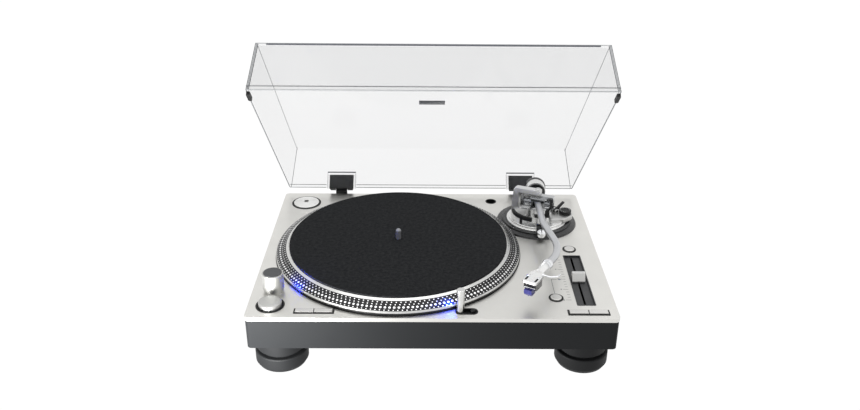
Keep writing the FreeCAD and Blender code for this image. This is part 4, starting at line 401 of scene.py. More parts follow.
@dataclass(frozen=True)
class CircuitLaminate(Finish):
    """Glass-epoxy board under green lacquer, with copper tracks showing through as a paler pattern."""

    def detail(self, tree: Tree, shader: Node, place: Socket) -> None:
        """Add the tracks."""
        tracks = add_node(tree, "ShaderNodeTexBrick",
                          {"Scale": 120.0, "Color1": linear(self.colour), "Color2": linear("#24563A"),
                           "Mortar": linear("#4E8A62"), "Mortar Size": 0.03}, {"Vector": place})
        tree.links.new(tracks.outputs["Color"], shader.inputs["Base Color"])


PANEL = BlastedAluminium("blasted_aluminium", "#DBDAD6", 0.36, 1.0)
KEY_METAL = BlastedAluminium("key_aluminium", "#D6D5D2", 0.34, 1.0)
DOT_METAL = Finish("dot_mirror", "#F4F4F4", 0.3, 1.0)
PLATTER_METAL = TurnedMetal("turned_platter_aluminium", "#CFCFCD", 0.26, 1.0, centre=(-45.4, -2.6))
ADAPTOR_METAL = TurnedMetal("turned_adaptor_aluminium", "#EAEAE8", 0.35, 1.0, centre=(-190, 139.5),
                            pitch_mm=0.9)
DIAL_METAL = TurnedMetal("turned_dial_aluminium", "#B9B9B6", 0.46, 1.0, centre=(-199, -112))
BUTTON_METAL = TurnedMetal("spun_button_aluminium", "#B2B2B0", 0.46, 1.0, centre=(-198.3, -145.4))
ARM_METAL = TurnedMetal("arm_base_aluminium", "#E2E2E1", 0.26, 1.0, centre=(153.6, 82), depth_mm=0.003)
ARM_CASTING = BlastedAluminium("arm_casting_aluminium", "#DADADA", 0.3, 1.0)
GIMBAL_METAL = Finish("gimbal_polished_aluminium", "#C2C3C4", 0.16, 1.0)
BLOCK_METAL = Finish("arm_block_grey_chrome", "#8A8C8F", 0.14, 1.0)
SKATE_CASTING = BlastedAluminium("skate_casting_aluminium", "#CACAC9", 0.34, 1.0)
RING_LACQUER = Finish("ring_black_lacquer", "#0C0D0F", 0.28, gloss=0.55)
FAINT_PRINT = Finish("faint_grey_print", "#55575A", 0.6)
LAMP_METAL = Finish("lamp_tube_aluminium", "#D8D8D6", 0.22, 1.0)
CHROME = Finish("chrome_plate", "#E6E7E9", 0.08, 1.0)
SPINDLE_STEEL = Finish("ground_spindle_steel", "#85878A", 0.35, 0.55)
TUBE_METAL = Finish("arm_tube_satin_chrome", "#C4C5C7", 0.38, 1.0)
SHELL_METAL = Finish("headshell_satin_silver", "#EDEDEC", 0.3, 1.0)
FADER_METAL = BlastedAluminium("fader_aluminium", "#C4C4C2", 0.34, 1.0)
STEEL = Finish("zinc_plated_steel", "#A9AAAC", 0.35, 1.0)
BODY_ABS = MouldedPlastic("body_satin_abs", "#1B1C1D", 0.55, gloss=0.08)
BLACK_ABS = MouldedPlastic("black_abs", "#0E0F10", 0.45, gloss=0.3)
GLOSS_BLACK = Finish("gloss_black_lacquer", "#0B0C0E", 0.14, coat=0.4)
# Black of the platter's band, also used for the painted shadow under the platter's lip and round it.
BAND_AND_SHADOW_BLACK = Finish("platter_band_and_shadow_black", "#0A0B0C", 0.35, gloss=0.3)
FOOT_RUBBER = MouldedPlastic("foot_rubber", "#121314", 0.6, gloss=0.2, grain_mm=1.2, depth_mm=0.05)
MAT_FELT = WoolFelt("mat_wool_felt", "#111214", 1.0, gloss=0.08)
COVER_ACRYLIC = ClearAcrylic("cover_acrylic", "#6E7073", 0.05, ior=1.49)
# The three cover edge finishes are painted light: dark and grey painted reflections and a pale painted
# highlight along the clear sheet's edges and rims.
COVER_DARK_REFLECTION = Finish("cover_painted_dark_reflection", "#5C5E64", 0.4, gloss=0.2)
COVER_GREY_REFLECTION = Finish("cover_painted_grey_reflection", "#5E6062", 0.5, gloss=0.2)
COVER_PALE_HIGHLIGHT = Finish("cover_painted_pale_highlight", "#9A9C9E", 0.5, gloss=0.2)
NAVY = Finish("navy_styrene", "#23246A", 0.25, coat=0.3)
CAP_TEXTURE = MouldedPlastic("dial_cap_texture", "#3A3B3D", 0.5, grain_mm=0.9, depth_mm=0.08)
TRAY_ABS = MouldedPlastic("tray_abs", "#2A2B2D", 0.5)
DARK_PRINT = Finish("dark_screen_print", "#3F4144", 0.6)
BLUE_PRINT = Finish("blue_grey_screen_print", "#5A6478", 0.6)
WHITE_PRINT = Finish("white_screen_print", "#D9DADC", 0.6)
BADGE_METAL = Finish("badge_aluminium", "#8E9093", 0.4, 1.0)
BLUE_LENS = Glow("strobe_lens", "#6F8CFF", 0.2, strength=9.0)
STUDIO_PAPER = Backdrop("studio_paper", "#FFFFFF", 0.9, gloss=0.0, strength=1.03)
WHITE_LENS = Glow("target_lens", "#B9C8FF", 0.2, strength=5.0)
CLEAR_LENS = Finish("clear_lens", "#C9D2E6", 0.1, coat=0.5)
BOARD = CircuitLaminate("green_laminate", "#1D4A30", 0.4)
BRASS = Finish("gilt_brass", "#C9A45A", 0.25, 1.0)
RED_PVC = Finish("red_pvc", "#A32A2A", 0.4)
WHITE_PVC = Finish("white_pvc", "#DADAD6", 0.4)
BLUE_PVC = Finish("blue_pvc", "#2D4A9A", 0.4)
GREEN_PVC = Finish("green_pvc", "#2E7A46", 0.4)

DRESS = {
    PANEL: ("top_panel",),
    BODY_ABS: ("base_housing",),
    STEEL: ("base_screws", "bearing_housing", "motor_stator", "magnet_ring", "transformer"),
    FOOT_RUBBER: ("foot_collars", "foot_front_left", "foot_front_right", "foot_rear_left", "foot_rear_right"),
    BOARD: ("main_board",),
    BLACK_ABS: ("rear_sockets", "panel_liners", "hinge_brackets", "cover_fittings", "lamp_release_button",
                "line_switch", "antiskate_dial", "cue_lever", "cue_lift", "arm_clip", "arm_rest"),
    TRAY_ABS: ("pitch_tray",),
    CLEAR_LENS: ("fixed_lamps",),
    PLATTER_METAL: ("platter",),
    CHROME: ("height_lock_knob", "headshell_fittings", "locking_nut"),
    SPINDLE_STEEL: ("spindle",),
    MAT_FELT: ("slipmat",),
    ADAPTOR_METAL: ("record_adaptor",),
    COVER_ACRYLIC: ("dust_cover",),
    GLOSS_BLACK: ("counterweight_cap", "force_ring", "cartridge"),
    FADER_METAL: ("pitch_fader",),
    BUTTON_METAL: ("start_button",),
    DIAL_METAL: ("power_dial", "strobe_collar"),
    CAP_TEXTURE: ("power_dial_cap",),
    KEY_METAL: ("speed_key_33", "speed_key_45", "range_key", "reverse_key", "reset_button", "quartz_button"),
    LAMP_METAL: ("target_lamp",),
    ARM_METAL: ("arm_base", "counterweight"),
    ARM_CASTING: ("bearing_bridge",),
    GIMBAL_METAL: ("gimbal_frame",),
    BLOCK_METAL: ("arm_housing",),
    SKATE_CASTING: ("antiskate_housing",),
    RING_LACQUER: ("arm_mount_ring", "height_ring"),
    TUBE_METAL: ("arm_tube",),
    SHELL_METAL: ("headshell",),
    NAVY: ("stylus",),
}


# Meshes


def piece(name: str, mesh: Mesh, where: Matrix, finish: Finish, body: str,
          smooth: bool = True) -> bpy.types.Object:
    """Make a named piece from a mesh drawn in local millimetres, dress it and let it ride on a body.

    Args:
        name: The piece's name.
        mesh: Its mesh, which is freed.
        where: Turns its millimetres into metres in the frame.
        finish: Its finish.
        body: The body it moves with.
        smooth: Whether its faces are shaded smooth where they meet gently.

    Returns:
        The new object.
    """
    bmesh.ops.transform(mesh, matrix=where, verts=mesh.verts)
    bmesh.ops.recalc_face_normals(mesh, faces=mesh.faces)
    data = bpy.data.meshes.new(name)
    mesh.to_mesh(data)
    mesh.free()
    if smooth:
        data.shade_smooth()
        data.set_sharp_from_angle(angle=math.radians(40))
    data.materials.append(finish.build())
    made = put(name, data)
    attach(made, body)
    return made


def lathe(outline: Sequence[Pair], steps: int = 96) -> Mesh:
    """Turn an outline of radius and height about the local Z axis.

    Args:
        outline: Radius and height of each point, in millimetres.
        steps: Facets round the axis.

    Returns:
        The turned mesh.
    """
    mesh = bmesh.new()
    rings = []
    for radius, height in outline:
        ring = []
        for i in range(steps):
            turn = 2 * math.pi * i / steps
            ring.append(mesh.verts.new((radius * math.cos(turn), radius * math.sin(turn), height)))
        rings.append(ring)
    for low, high in zip(rings, rings[1:] + rings[:1]):
        for i in range(steps):
            j = (i + 1) % steps
            mesh.faces.new((low[i], low[j], high[j], high[i]))
    return mesh


def add_bar(mesh: Mesh, start: Vector, end: Vector, width: float, height: float) -> None:
    """Add a flat bar between two points, lying on the local XY plane and raised by its height.

    Args:
        mesh: The mesh to add it to.
        start: One end, in millimetres.
        end: The other end.
        width: Width of the bar.
        height: Thickness above the plane.
    """
    along = (end - start).normalized()
    side = Vector((-along.y, along.x, 0)) * width / 2
    corners = [start - side, end - side, end + side, start + side]
    low = [mesh.verts.new(c) for c in corners]
    high = [mesh.verts.new(c + Vector((0, 0, height))) for c in corners]
    mesh.faces.new(high)
    mesh.faces.new(low[::-1])
    for i in range(4):
        j = (i + 1) % 4
        mesh.faces.new((low[i], low[j], high[j], high[i]))


def add_block(mesh: Mesh, low: Sequence[float], high: Sequence[float], bevel: float) -> None:
    """Add a block with softened edges.

    Args:
        mesh: The mesh to add it to.
        low: Its lowest corner, in millimetres.
        high: Its highest corner.
        bevel: Width of the softened edges.
    """
    made = bmesh.ops.create_cube(mesh, size=1.0)["verts"]
    middle = [(a + b) / 2 for a, b in zip(low, high)]
    size = [b - a for a, b in zip(low, high)]
    for vert in made:
        vert.co = Vector([m + c * s for m, c, s in zip(middle, vert.co, size)])
    edges = list({e for v in made for e in v.link_edges})
    bmesh.ops.bevel(mesh, geom=edges, offset=bevel, segments=2, affect="EDGES", profile=0.6)


def tube_along(points: Iterable[Vector], radius: float, sides: int = 10,
               mesh: Mesh | None = None) -> Mesh:
    """Draw a round wire through points.

    Args:
        points: The wire's middle line, in millimetres.
        radius: The wire's radius.
        sides: Facets round it.
        mesh: A mesh to add it to, or none for a new one.

    Returns:
        The wire's mesh.
    """
    line = list(points)
    mesh = mesh or bmesh.new()
    rings = []
    for i, spot in enumerate(line):
        ahead = (line[min(i + 1, len(line) - 1)] - line[max(i - 1, 0)]).normalized()
        turn = ahead.to_track_quat("Z", "Y").to_matrix()
        ring = []
        for k in range(sides):
            angle = 2 * math.pi * k / sides
            ring.append(mesh.verts.new(spot + turn @ ray(angle) * radius))
        rings.append(ring)
    for low, high in zip(rings, rings[1:]):
        for k in range(sides):
            j = (k + 1) % sides
            mesh.faces.new((low[k], low[j], high[j], high[k]))
    mesh.faces.new(rings[0][::-1])
    mesh.faces.new(rings[-1])
    return mesh


def soft_curve(points: Sequence[Vector], steps: int = 6) -> list[Vector]:
    """Round a route through points, as a soft wire lies.

    Args:
        points: The route's points.
        steps: Points made for each run.

    Returns:
        The rounded route.
    """
    made = []
    for i in range(len(points) - 1):
        before = points[max(i - 1, 0)]
        start = points[i]
        end = points[i + 1]
        after = points[min(i + 2, len(points) - 1)]
        for k in range(steps):
            t = k / steps
            made.append(0.5 * (2 * start + (end - before) * t
                               + (2 * before - 5 * start + 4 * end - after) * t * t
                               + (3 * start - before - 3 * end + after) * t ** 3))
    return made + [points[-1]]


# Sub-assemblies


@dataclass
class Platter:
    """The dotted band round the platter, and the painted shadow lines at its foot."""

    centre: Pair = (-45.4, -2.6)
    foot: Pair = (165.2, 5.8)
    head: Pair = (152.0, 12.9)
    ink: float = 0.08
    margin: float = 0.25
    outside: float = 166.0
    lip: Pair = (0.65, 3.3)
    skin: float = 0.1
    well: Pair = (157.7, 166.7)
    well_shadow_rise: Pair = (0.02, 0.12)
    in_step: float = 257.8
    crown: float = 0.22
    facets: int = 10
    rows: tuple[tuple[float, float, int], ...] = ((0.12, 0.8, 186), (0.37, 1.5, 180), (0.63, 0.8, 174),
                                                  (0.85, 0.8, 168))
    slot: str = "polished_aluminium"

    def where(self) -> Matrix:
        """Find the platter.

        Returns:
            The frame at the spindle, on the panel's face.
        """
        return panel_frame(*self.centre, 0)

    def band(self) -> None:
        """Lay the black band on the cone of the platter's side."""
        lean = Vector((self.head[0] - self.foot[0], self.head[1] - self.foot[1])).normalized()
        out = Vector((lean.y, -lean.x)) * self.ink
        low = Vector(self.foot) + lean * self.margin
        high = Vector(self.head) - lean * self.margin
        outline = [tuple(low - out), tuple(low + out), tuple(high + out), tuple(high - out)]
        piece("platter_band", lathe(outline, ROUND_STEPS), self.where(), BAND_AND_SHADOW_BLACK, "platter")

    def shadow_line(self) -> None:
        """Paint black shade on the undercut below the platter's lip, and a black painted shadow on the panel
        round the well that it turns in.
        """
        # Both pieces are painted shade: black laid where the lip and the panel under it are in shadow, not
        # black parts; the well's black_plastic slot only labels this painted shadow.
        face = (self.outside - self.skin, self.outside + self.skin)
        for name, radii, rises, body, slot in (
                ("platter_undercut_painted_shade", face, self.lip, "platter", self.slot),
                ("platter_well_painted_shadow", self.well, self.well_shadow_rise, "plinth", "black_plastic")):
            (inner, outer), (low, high) = radii, rises
            outline = [(inner, low), (outer, low), (outer, high), (inner, high)]
            piece(name, lathe(outline, ROUND_STEPS), self.where(), BAND_AND_SHADOW_BLACK, body)

    def dots(self) -> None:
        """Set the bright dots on the band, each row with its own count for its own speed."""
        mesh = bmesh.new()
        foot = Vector(self.foot)
        head = Vector(self.head)
        lean = (head - foot).normalized()
        out = Vector((lean.y, -lean.x))
        for share, radius, count in self.rows:
            spot = foot.lerp(head, share) + out * self.skin
            for i in range(count):
                radial = ray(math.radians(self.in_step) + 2 * math.pi * i / count)
                across = Vector((-radial.y, radial.x, 0))
                up = radial * lean.x + Vector((0, 0, lean.y))
                normal = radial * out.x + Vector((0, 0, out.y))
                centre = radial * spot.x + Vector((0, 0, spot.y))
                crown = mesh.verts.new(centre + normal * radius * self.crown)
                ring = []
                for k in range(self.facets):
                    angle = 2 * math.pi * k / self.facets
                    edge = across * math.cos(angle) + up * math.sin(angle)
                    ring.append(mesh.verts.new(centre + edge * radius))
                for k in range(self.facets):
                    mesh.faces.new((ring[k], ring[(k + 1) % self.facets], crown))
        piece("platter_dots", mesh, self.where(), DOT_METAL, "platter")

    def build(self) -> None:
        """Build the band, its dots and the dark lines under and round the platter."""
        self.band()
        self.shadow_line()
        self.dots()


@dataclass
class PanelPrint:
    """Screen printing on the top panel, as thin raised ink."""

    ink: float = 0.04
    scale_x: Pair = (166.0, 172.7)
    scale_y: Pair = (-131.0, -32.0)
    divisions: int = 16
    short_tick: float = 3.6
    tick_width: float = 0.55
    figures: tuple[str, ...] = ("8", "4", "0", "4", "8")
    figure_size: float = 4.6
    figure_gap: float = 1.4
    line: tuple[Pair, ...] = ((154, -115.5), (154, -82.2), (161.5, -82.2))
    line_width: float = 0.5
    mark: tuple[Pair, ...] = ((163.6, -80.4), (163.6, -84.0), (166.9, -82.2))
    slot: str = "black_plastic"

    def scale(self) -> None:
        """Print the pitch scale, with a longer tick at every fourth."""
        mesh = bmesh.new()
        left, right = self.scale_x
        start, end = self.scale_y
        for i in range(self.divisions + 1):
            y = start + (end - start) * i / self.divisions
            inner = left if i % 4 == 0 else right - self.short_tick
            add_bar(mesh, Vector((inner, y, 0)), Vector((right, y, 0)), self.tick_width, self.ink)
        piece("pitch_scale", mesh, panel_frame(0, 0, 0), DARK_PRINT, "plinth", smooth=False)

    def numbers(self) -> None:
        """Print the plain figures of the pitch scale."""
        start, end = self.scale_y
        for i, figure in enumerate(self.figures):
            y = start + (end - start) * i / (len(self.figures) - 1)
            text = bpy.data.curves.new(f"pitch_figure_{i}", "FONT")
            text.body = figure
            text.size = self.figure_size * MM
            text.extrude = self.ink * MM / 2
            text.align_x = "RIGHT"
            text.align_y = "CENTER"
            text.materials.append(DARK_PRINT.build())
            made = put(f"pitch_figure_{i}", text)
            made.location = panel_point(self.scale_x[0] - self.figure_gap, y, self.ink / 2)
            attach(made, "plinth")

    def guides(self) -> None:
        """Print the line from the lower round button and the mark at the scale's middle."""
        mesh = bmesh.new()
        for start, end in zip(self.line, self.line[1:]):
            add_bar(mesh, Vector((*start, 0)), Vector((*end, 0)), self.line_width, self.ink)
        piece("reset_line", mesh, panel_frame(0, 0, 0), DARK_PRINT, "plinth", smooth=False)
        mark = bmesh.new()
        mark.faces.new([mark.verts.new((x, y, self.ink)) for x, y in self.mark])
        piece("middle_mark", mark, panel_frame(0, 0, 0), BLUE_PRINT, "plinth", smooth=False)

    def build(self) -> None:
        """Print everything."""
        self.scale()
        self.numbers()
        self.guides()


@dataclass
class Lamps:
    """Lenses that shine, of the strobe under the power dial and of the target lamp, and their light."""

    strobe: Triple = (-199.0, -112.0, 2.5)
    strobe_aim: float = 35.0
    strobe_reach: float = 11.9
    strobe_beam: tuple[Triple, ...] = ((-182.0, -110.0, 15.5), (-160, -94, 8))
    target: Triple = (34.0, -157.6, 27.6)
    target_aim: float = 125.0
    target_reach: float = 5.15
    target_beam: tuple[Triple, ...] = ((30.0, -152.0, 28.0), (16, -158, 8))
    slot: str = "lamp_lens"

    def lens(self, name: str, place: Triple, heading: float, reach: float, radius: float,
             finish: Finish, body: str) -> None:
        """Set a round lens in the side of a turned part.

        Args:
            name: The lens's name.
            place: The part's axis and the lens's height.
            heading: Its direction from the right, in degrees.
            reach: How far its face is from the axis.
            radius: Its radius.
            finish: Its finish.
            body: The body it moves with.
        """
        turn = Matrix.Rotation(math.radians(heading), 4, "Z") @ Matrix.Rotation(math.radians(90), 4, "Y")
        outline = [(0.01, reach - 0.6), (radius, reach - 0.6), (radius, reach), (radius * 0.6, reach + 0.25),
                   (0.01, reach + 0.35)]
        piece(name, lathe(outline, 24), panel_frame(*place) @ turn, finish, body)

    def light(self, name: str, beam: tuple[Triple, ...], power: float, colour: str, angle: float) -> None:
        """Throw a lamp's light on what it points at.

        Args:
            name: The light's name.
            beam: Where it stands, and a point on its line.
            power: Its power in watts.
            colour: Its colour.
            angle: Full angle of its cone in degrees.
        """
        data = bpy.data.lights.new(name, "SPOT")
        data.energy = power
        data.color = linear(colour)[:3]
        data.spot_size = math.radians(angle)
        data.spot_blend = 0.8
        data.shadow_soft_size = 0.002
        aim(put(name, data), panel_point(*beam[0]), panel_point(*beam[1]))

    def build(self) -> None:
        """Set the lenses and light them."""
        self.lens("strobe_lamp", self.strobe, self.strobe_aim, self.strobe_reach, 1.9, BLUE_LENS, "plinth")
        self.lens("target_lamp_lens", self.target, self.target_aim, self.target_reach, 1.5, WHITE_LENS,
                  "target_lamp")
        self.light("strobe_light", self.strobe_beam, 0.5, "#1E3CFF", 130)
        self.light("target_light", self.target_beam, 0.3, "#2B4CFF", 80)


@dataclass
class Fader:
    """The pitch fader's pale centre line."""

    x: float = 188.8
    y: float = -82.0
    top: float = 11.0
    wide: float = 16.6
    line: float = 1.1
    deep: float = 2.4
    proud: float = 0.12
    slot: str = "gloss_black"

    def build(self) -> None:
        """Inlay the line across the crown and down both slopes."""
        mesh = bmesh.new()
        add_block(mesh, (self.x - self.wide / 2, self.y - self.line / 2, self.top - self.deep),
                  (self.x + self.wide / 2, self.y + self.line / 2, self.top + self.proud), 0.05)
        piece("fader_line", mesh, panel_frame(0, 0, 0), WHITE_PRINT, "pitch_fader")


@dataclass
class Cover:
    """The clear cover's bare plate, the painted reflections and highlights along its edges, and the faces of
    its hinges.
    """

    open_angle: float = 44.3
    hinge: Pair = (179.4, 7.1)
    width: float = 440.0
    depth: float = 346.0
    back: float = 6.5
    rim: float = -2.7
    top: float = 62.7
    side_lean: float = 6.1
    front_lean: float = 6.3
    rear_lean: float = 3.1
    wall: float = 3.0
    band: float = 5.2
    sleeve_in: float = 116.8
    sleeve_out: float = 162.6
    hinge_x: float = 139.7
    hinge_skin: Pair = (-7.3, -7.0)
    leaf: Triple = (18.6, -3.6, 18.8)
    sleeve: Triple = (22.0, -2.5, 22.0)
    sleeve_bar: float = 2.0
    sleeve_line: float = 0.4
    plate_low: Triple = (-18.4, -185.5, 62.6)
    plate_high: Triple = (17.6, -173.3, 63.4)
    slot: str = "clear_cover"

    def where(self) -> Matrix:
        """Find the cover.

        Returns:
            The closed cover's frame, swung open.
        """
        turn = Matrix.Rotation(math.radians(-self.open_angle), 4, "X")
        return panel_frame(0, self.hinge[0], self.hinge[1]) @ turn

    def corner(self, side: int, front: bool, high: bool) -> Vector:
        """Find a corner of the cover's shell.

        Args:
            side: Minus one at the left, one at the right.
            front: Whether it is at the front.
            high: Whether it is at the top.

        Returns:
            The corner in the closed cover's millimetres.
        """
        lean = 1 if high else 0
        x = side * (self.width / 2 - self.side_lean * lean)
        y = -self.back - (self.depth - self.front_lean * lean if front else self.rear_lean * lean)
        return Vector((x, y, self.top if high else self.rim))

    def plate(self) -> None:
        """Fix the bare plate on the cover's top."""
        mesh = bmesh.new()
        add_block(mesh, self.plate_low, self.plate_high, 0.3)
        piece("cover_plate", mesh, self.where(), BADGE_METAL, "cover")

    def line(self, mesh: Mesh, ends: tuple[Vector, Vector], shift: Vector, radius: float,
             short: float = 0.0) -> None:
        """Draw one painted line of edge reflection inside the sheet.

        Args:
            mesh: The mesh to add it to.
            ends: The two corners that it runs between.
            shift: Its place from the shell's outer edge, towards the inside.
            radius: Half its thickness.
            short: How far it stays from the corners.
        """
        start, end = ends
        trim = (end - start).normalized() * (short + radius)
        tube_along([start + shift + trim, end + shift - trim], radius, 8, mesh)

    def edges(self) -> None:
        """Paint dark, grey and pale lines where the sheets meet and along their rims: painted reflections and
        highlights that stand in for the light the clear sheet's edges gather from the room.
        """
        dark, grey, pale = bmesh.new(), bmesh.new(), bmesh.new()
        wall = self.wall
        up = Vector((0, 0, 1))
        front = Vector((0, 1, 0))
        brow = (self.corner(-1, True, True), self.corner(1, True, True))
        self.line(dark, brow, front * 1.4 - up * 1.4, 1.2, 12)
        self.line(pale, brow, front * 0.6 - up * 0.6, 0.5)
        for side in (-1, 1):
            inward = Vector((-side, 0, 0))
            nose = (self.corner(side, True, True), self.corner(side, True, False))
            self.line(grey, nose, (inward + front) * 0.6, 0.45)
            self.line(grey, nose, (inward + front) * wall, 0.5)
            self.line(pale, nose, (inward + front) * 1.8, 0.8)
            tail = (self.corner(side, False, True), self.corner(side, False, False))
            self.line(grey, (nose[0], tail[0]), inward * wall - up * wall, 0.32)
            self.line(grey, tail, (inward - front) * wall, 0.38)
            self.line(grey, (nose[1], tail[1]), inward * 0.6 + up * 0.6, 0.55)
        rims = (self.corner(-1, True, False), self.corner(1, True, False))
        self.line(grey, rims, front * 0.5 + up * self.band, 0.5)
        self.line(pale, rims, front * 0.6 + up * 0.6, 0.5)
        low = self.corner(-1, False, False)
        for start, end in ((-self.width / 2, -self.sleeve_out), (-self.sleeve_in, self.sleeve_in),
                           (self.sleeve_out, self.width / 2)):
            ends = (Vector((start, low.y, low.z)), Vector((end, low.y, low.z)))
            self.line(grey, ends, up * self.band - front * 0.5, 0.45)
            self.line(pale, ends, up * 0.6 - front * 0.6, 0.55)
        for name, mesh, finish in (("dark", dark, COVER_DARK_REFLECTION), ("grey", grey, COVER_GREY_REFLECTION),
                                   ("pale", pale, COVER_PALE_HIGHLIGHT)):
            piece(f"cover_painted_edge_light_{name}", mesh, self.where(), finish, "cover")

    def hinge_faces(self) -> None:
        """Face the hinge leaves in black, and paint grey edge reflections as the outline of the clear sleeves
        that hold them.
        """
        back, face = self.hinge_skin
        for side in Side:
            x = side.value * self.hinge_x
            name = side.name.lower()
            mesh = bmesh.new()
            half, low, high = self.leaf
            add_block(mesh, (x - half, back, low), (x + half, face, high), 0.1)
            piece(f"hinge_face_{name}", mesh, self.where(), BLACK_ABS, "cover")
            # The sleeve outline is a painted reflection along the clear sleeve's edges.
            mesh = bmesh.new()
            half, low, high = self.sleeve
            add_block(mesh, (x - half, back, high), (x + half, face, high + self.sleeve_bar), 0.1)
            for left in (x - half, x + half - self.sleeve_line):
                add_block(mesh, (left, back, low), (left + self.sleeve_line, face, high), 0.05)
            piece(f"sleeve_painted_edge_reflection_{name}", mesh, self.where(), COVER_GREY_REFLECTION, "cover")

    def build(self) -> None:
        """Build the plate, the painted edge reflections and highlights, and the hinge faces."""
        self.plate()
        self.edges()
        self.hinge_faces()


@dataclass
class Tonearm:
    """The cartridge's leads, pins, bright line and cantilever, and the arm's printed scales."""

    pivot: Pair = (153.6, 82.0)
    lift_rise: float = 31.0
    tilt: float = 1.25
    gimbal: float = 22.0
    nut: Pair = (-10.7, -187.5)
    offset: float = 31.0
    shaft: float = 3.4
    lead_radius: float = 0.5
    leads: tuple[Finish, ...] = (RED_PVC, WHITE_PVC, BLUE_PVC, GREEN_PVC)
    pin_sides: tuple[float, ...] = (-4.2, -1.4, 1.4, 4.2)
    pin_drops: Pair = (-4.6, -6.8)
    force_ring: Pair = (13.44, 38.0)
    force_ticks: int = 40
    tick: float = 0.32

    def arm(self) -> Matrix:
        """Find the arm.

        Returns:
            Its frame at the lift axis.
        """
        angle = math.radians(self.gimbal)
        axis = Vector((math.cos(angle), -math.sin(angle), 0))
        turn = Matrix.Rotation(math.radians(-self.tilt), 4, axis)
        return panel_frame(*self.pivot, self.lift_rise) @ turn

    def head(self) -> Matrix:
        """Find the headshell.

        Returns:
            Its frame at the nut, forward along its own minus Y.
        """
        move = Matrix.Translation(Vector((*self.nut, 0)))
        return self.arm() @ move @ Matrix.Rotation(math.radians(-self.offset), 4, "Z")

    def rear(self) -> Matrix:
        """Find the rear shaft.

        Returns:
            Its frame, with the Z axis pointing back.
        """
        angle = math.radians(self.shaft)
        axis = Vector((-math.cos(angle), math.sin(angle), 0))
        return self.arm() @ Matrix.Rotation(math.radians(90), 4, axis)

    def cartridge_leads(self) -> None:
        """Run four leads from the neck to the cartridge's pins, under the plate."""
        for i, (finish, side) in enumerate(zip(self.leads, self.pin_sides)):
            drop = self.pin_drops[i % 2]
            route = [Vector((side * 0.5, -24.6, -2.9)), Vector((side * 0.9, -26.4, -3.6 - (i % 2))),
                     Vector((side * 1.15, -28.4, drop - 0.4)), Vector((side, -31.5, drop))]
            mesh = tube_along(soft_curve(route), self.lead_radius)
            piece(f"cartridge_lead_{i + 1}", mesh, self.head(), finish, "headshell")

    def pins(self) -> None:
        """Set the four gilt pins in the cartridge's back."""
        mesh = bmesh.new()
        for i, side in enumerate(self.pin_sides):
            drop = self.pin_drops[i % 2]
            add_block(mesh, (side - 0.5, -31.3, drop - 0.5), (side + 0.5, -29.8, drop + 0.5), 0.1)
        piece("cartridge_pins", mesh, self.head(), BRASS, "headshell")

    def shell_line(self) -> None:
        """Lay the bright line along the front of the cartridge and the cantilever under it."""
        mesh = bmesh.new()
        add_block(mesh, (-7.2, -49.75, -8.3), (7.2, -49.4, -7.6), 0.08)
        piece("cartridge_line", mesh, self.head(), WHITE_PRINT, "headshell")
        rod = tube_along([Vector((0, -46, -15.8)), Vector((0, -52, -17.4))], 0.35)
        piece("cantilever", rod, self.head(), CHROME, "headshell")

    def ring_ticks(self) -> None:
        """Print the force ring's scale on its side."""
        mesh = bmesh.new()
        radius, back = self.force_ring
        for i in range(self.force_ticks):
            long = 2.6 if i % 5 == 0 else 1.5
            radial = ray(2 * math.pi * i / self.force_ticks)
            across = Vector((-radial.y, radial.x, 0)) * self.tick / 2
            spots = [radial * radius + across * side + Vector((0, 0, height))
                     for side, height in ((1, back), (-1, back), (-1, back - long), (1, back - long))]
            mesh.faces.new([mesh.verts.new(s) for s in spots])
        piece("force_ring_scale", mesh, self.rear(), WHITE_PRINT, "force_ring", smooth=False)

    def dial_scale(self, name: str, body: str, finish: Finish, place: Triple, count: int, step: float,
                   outer: float, lengths: tuple[float, ...], width: float) -> None:
        """Print ticks round a dial's face.

        Args:
            name: The scale's name.
            body: The dial's body.
            finish: The ink.
            place: The dial's middle, from the arm's pivot, and its rise.
            count: How many ticks there are.
            step: Degrees from one to the next.
            outer: Radius of their outer ends.
            lengths: Their lengths, repeated in this order.
            width: Their width.
        """
        mesh = bmesh.new()
        for i in range(count):
            radial = ray(math.radians(step * i))
            add_bar(mesh, radial * outer, radial * (outer - lengths[i % len(lengths)]), width, 0.05)
        where = panel_frame(self.pivot[0] + place[0], self.pivot[1] + place[1], place[2])
        piece(name, mesh, where, finish, body, smooth=False)

    def build(self) -> None:
        """Build everything on the arm."""
        self.cartridge_leads()
        self.pins()
        self.shell_line()
        self.ring_ticks()
        self.dial_scale("height_ring_scale", "height_ring", FAINT_PRINT, (0, 0, 5.5), 60, 6, 48.2,
                        (4.2, 2.4, 2.4, 2.4, 2.4), 0.5)
        self.dial_scale("antiskate_scale", "antiskate_dial", WHITE_PRINT, (41.5, 0.3, 18.6), 14, 20, 7.9,
                        (2.2, 1.6), 0.35)


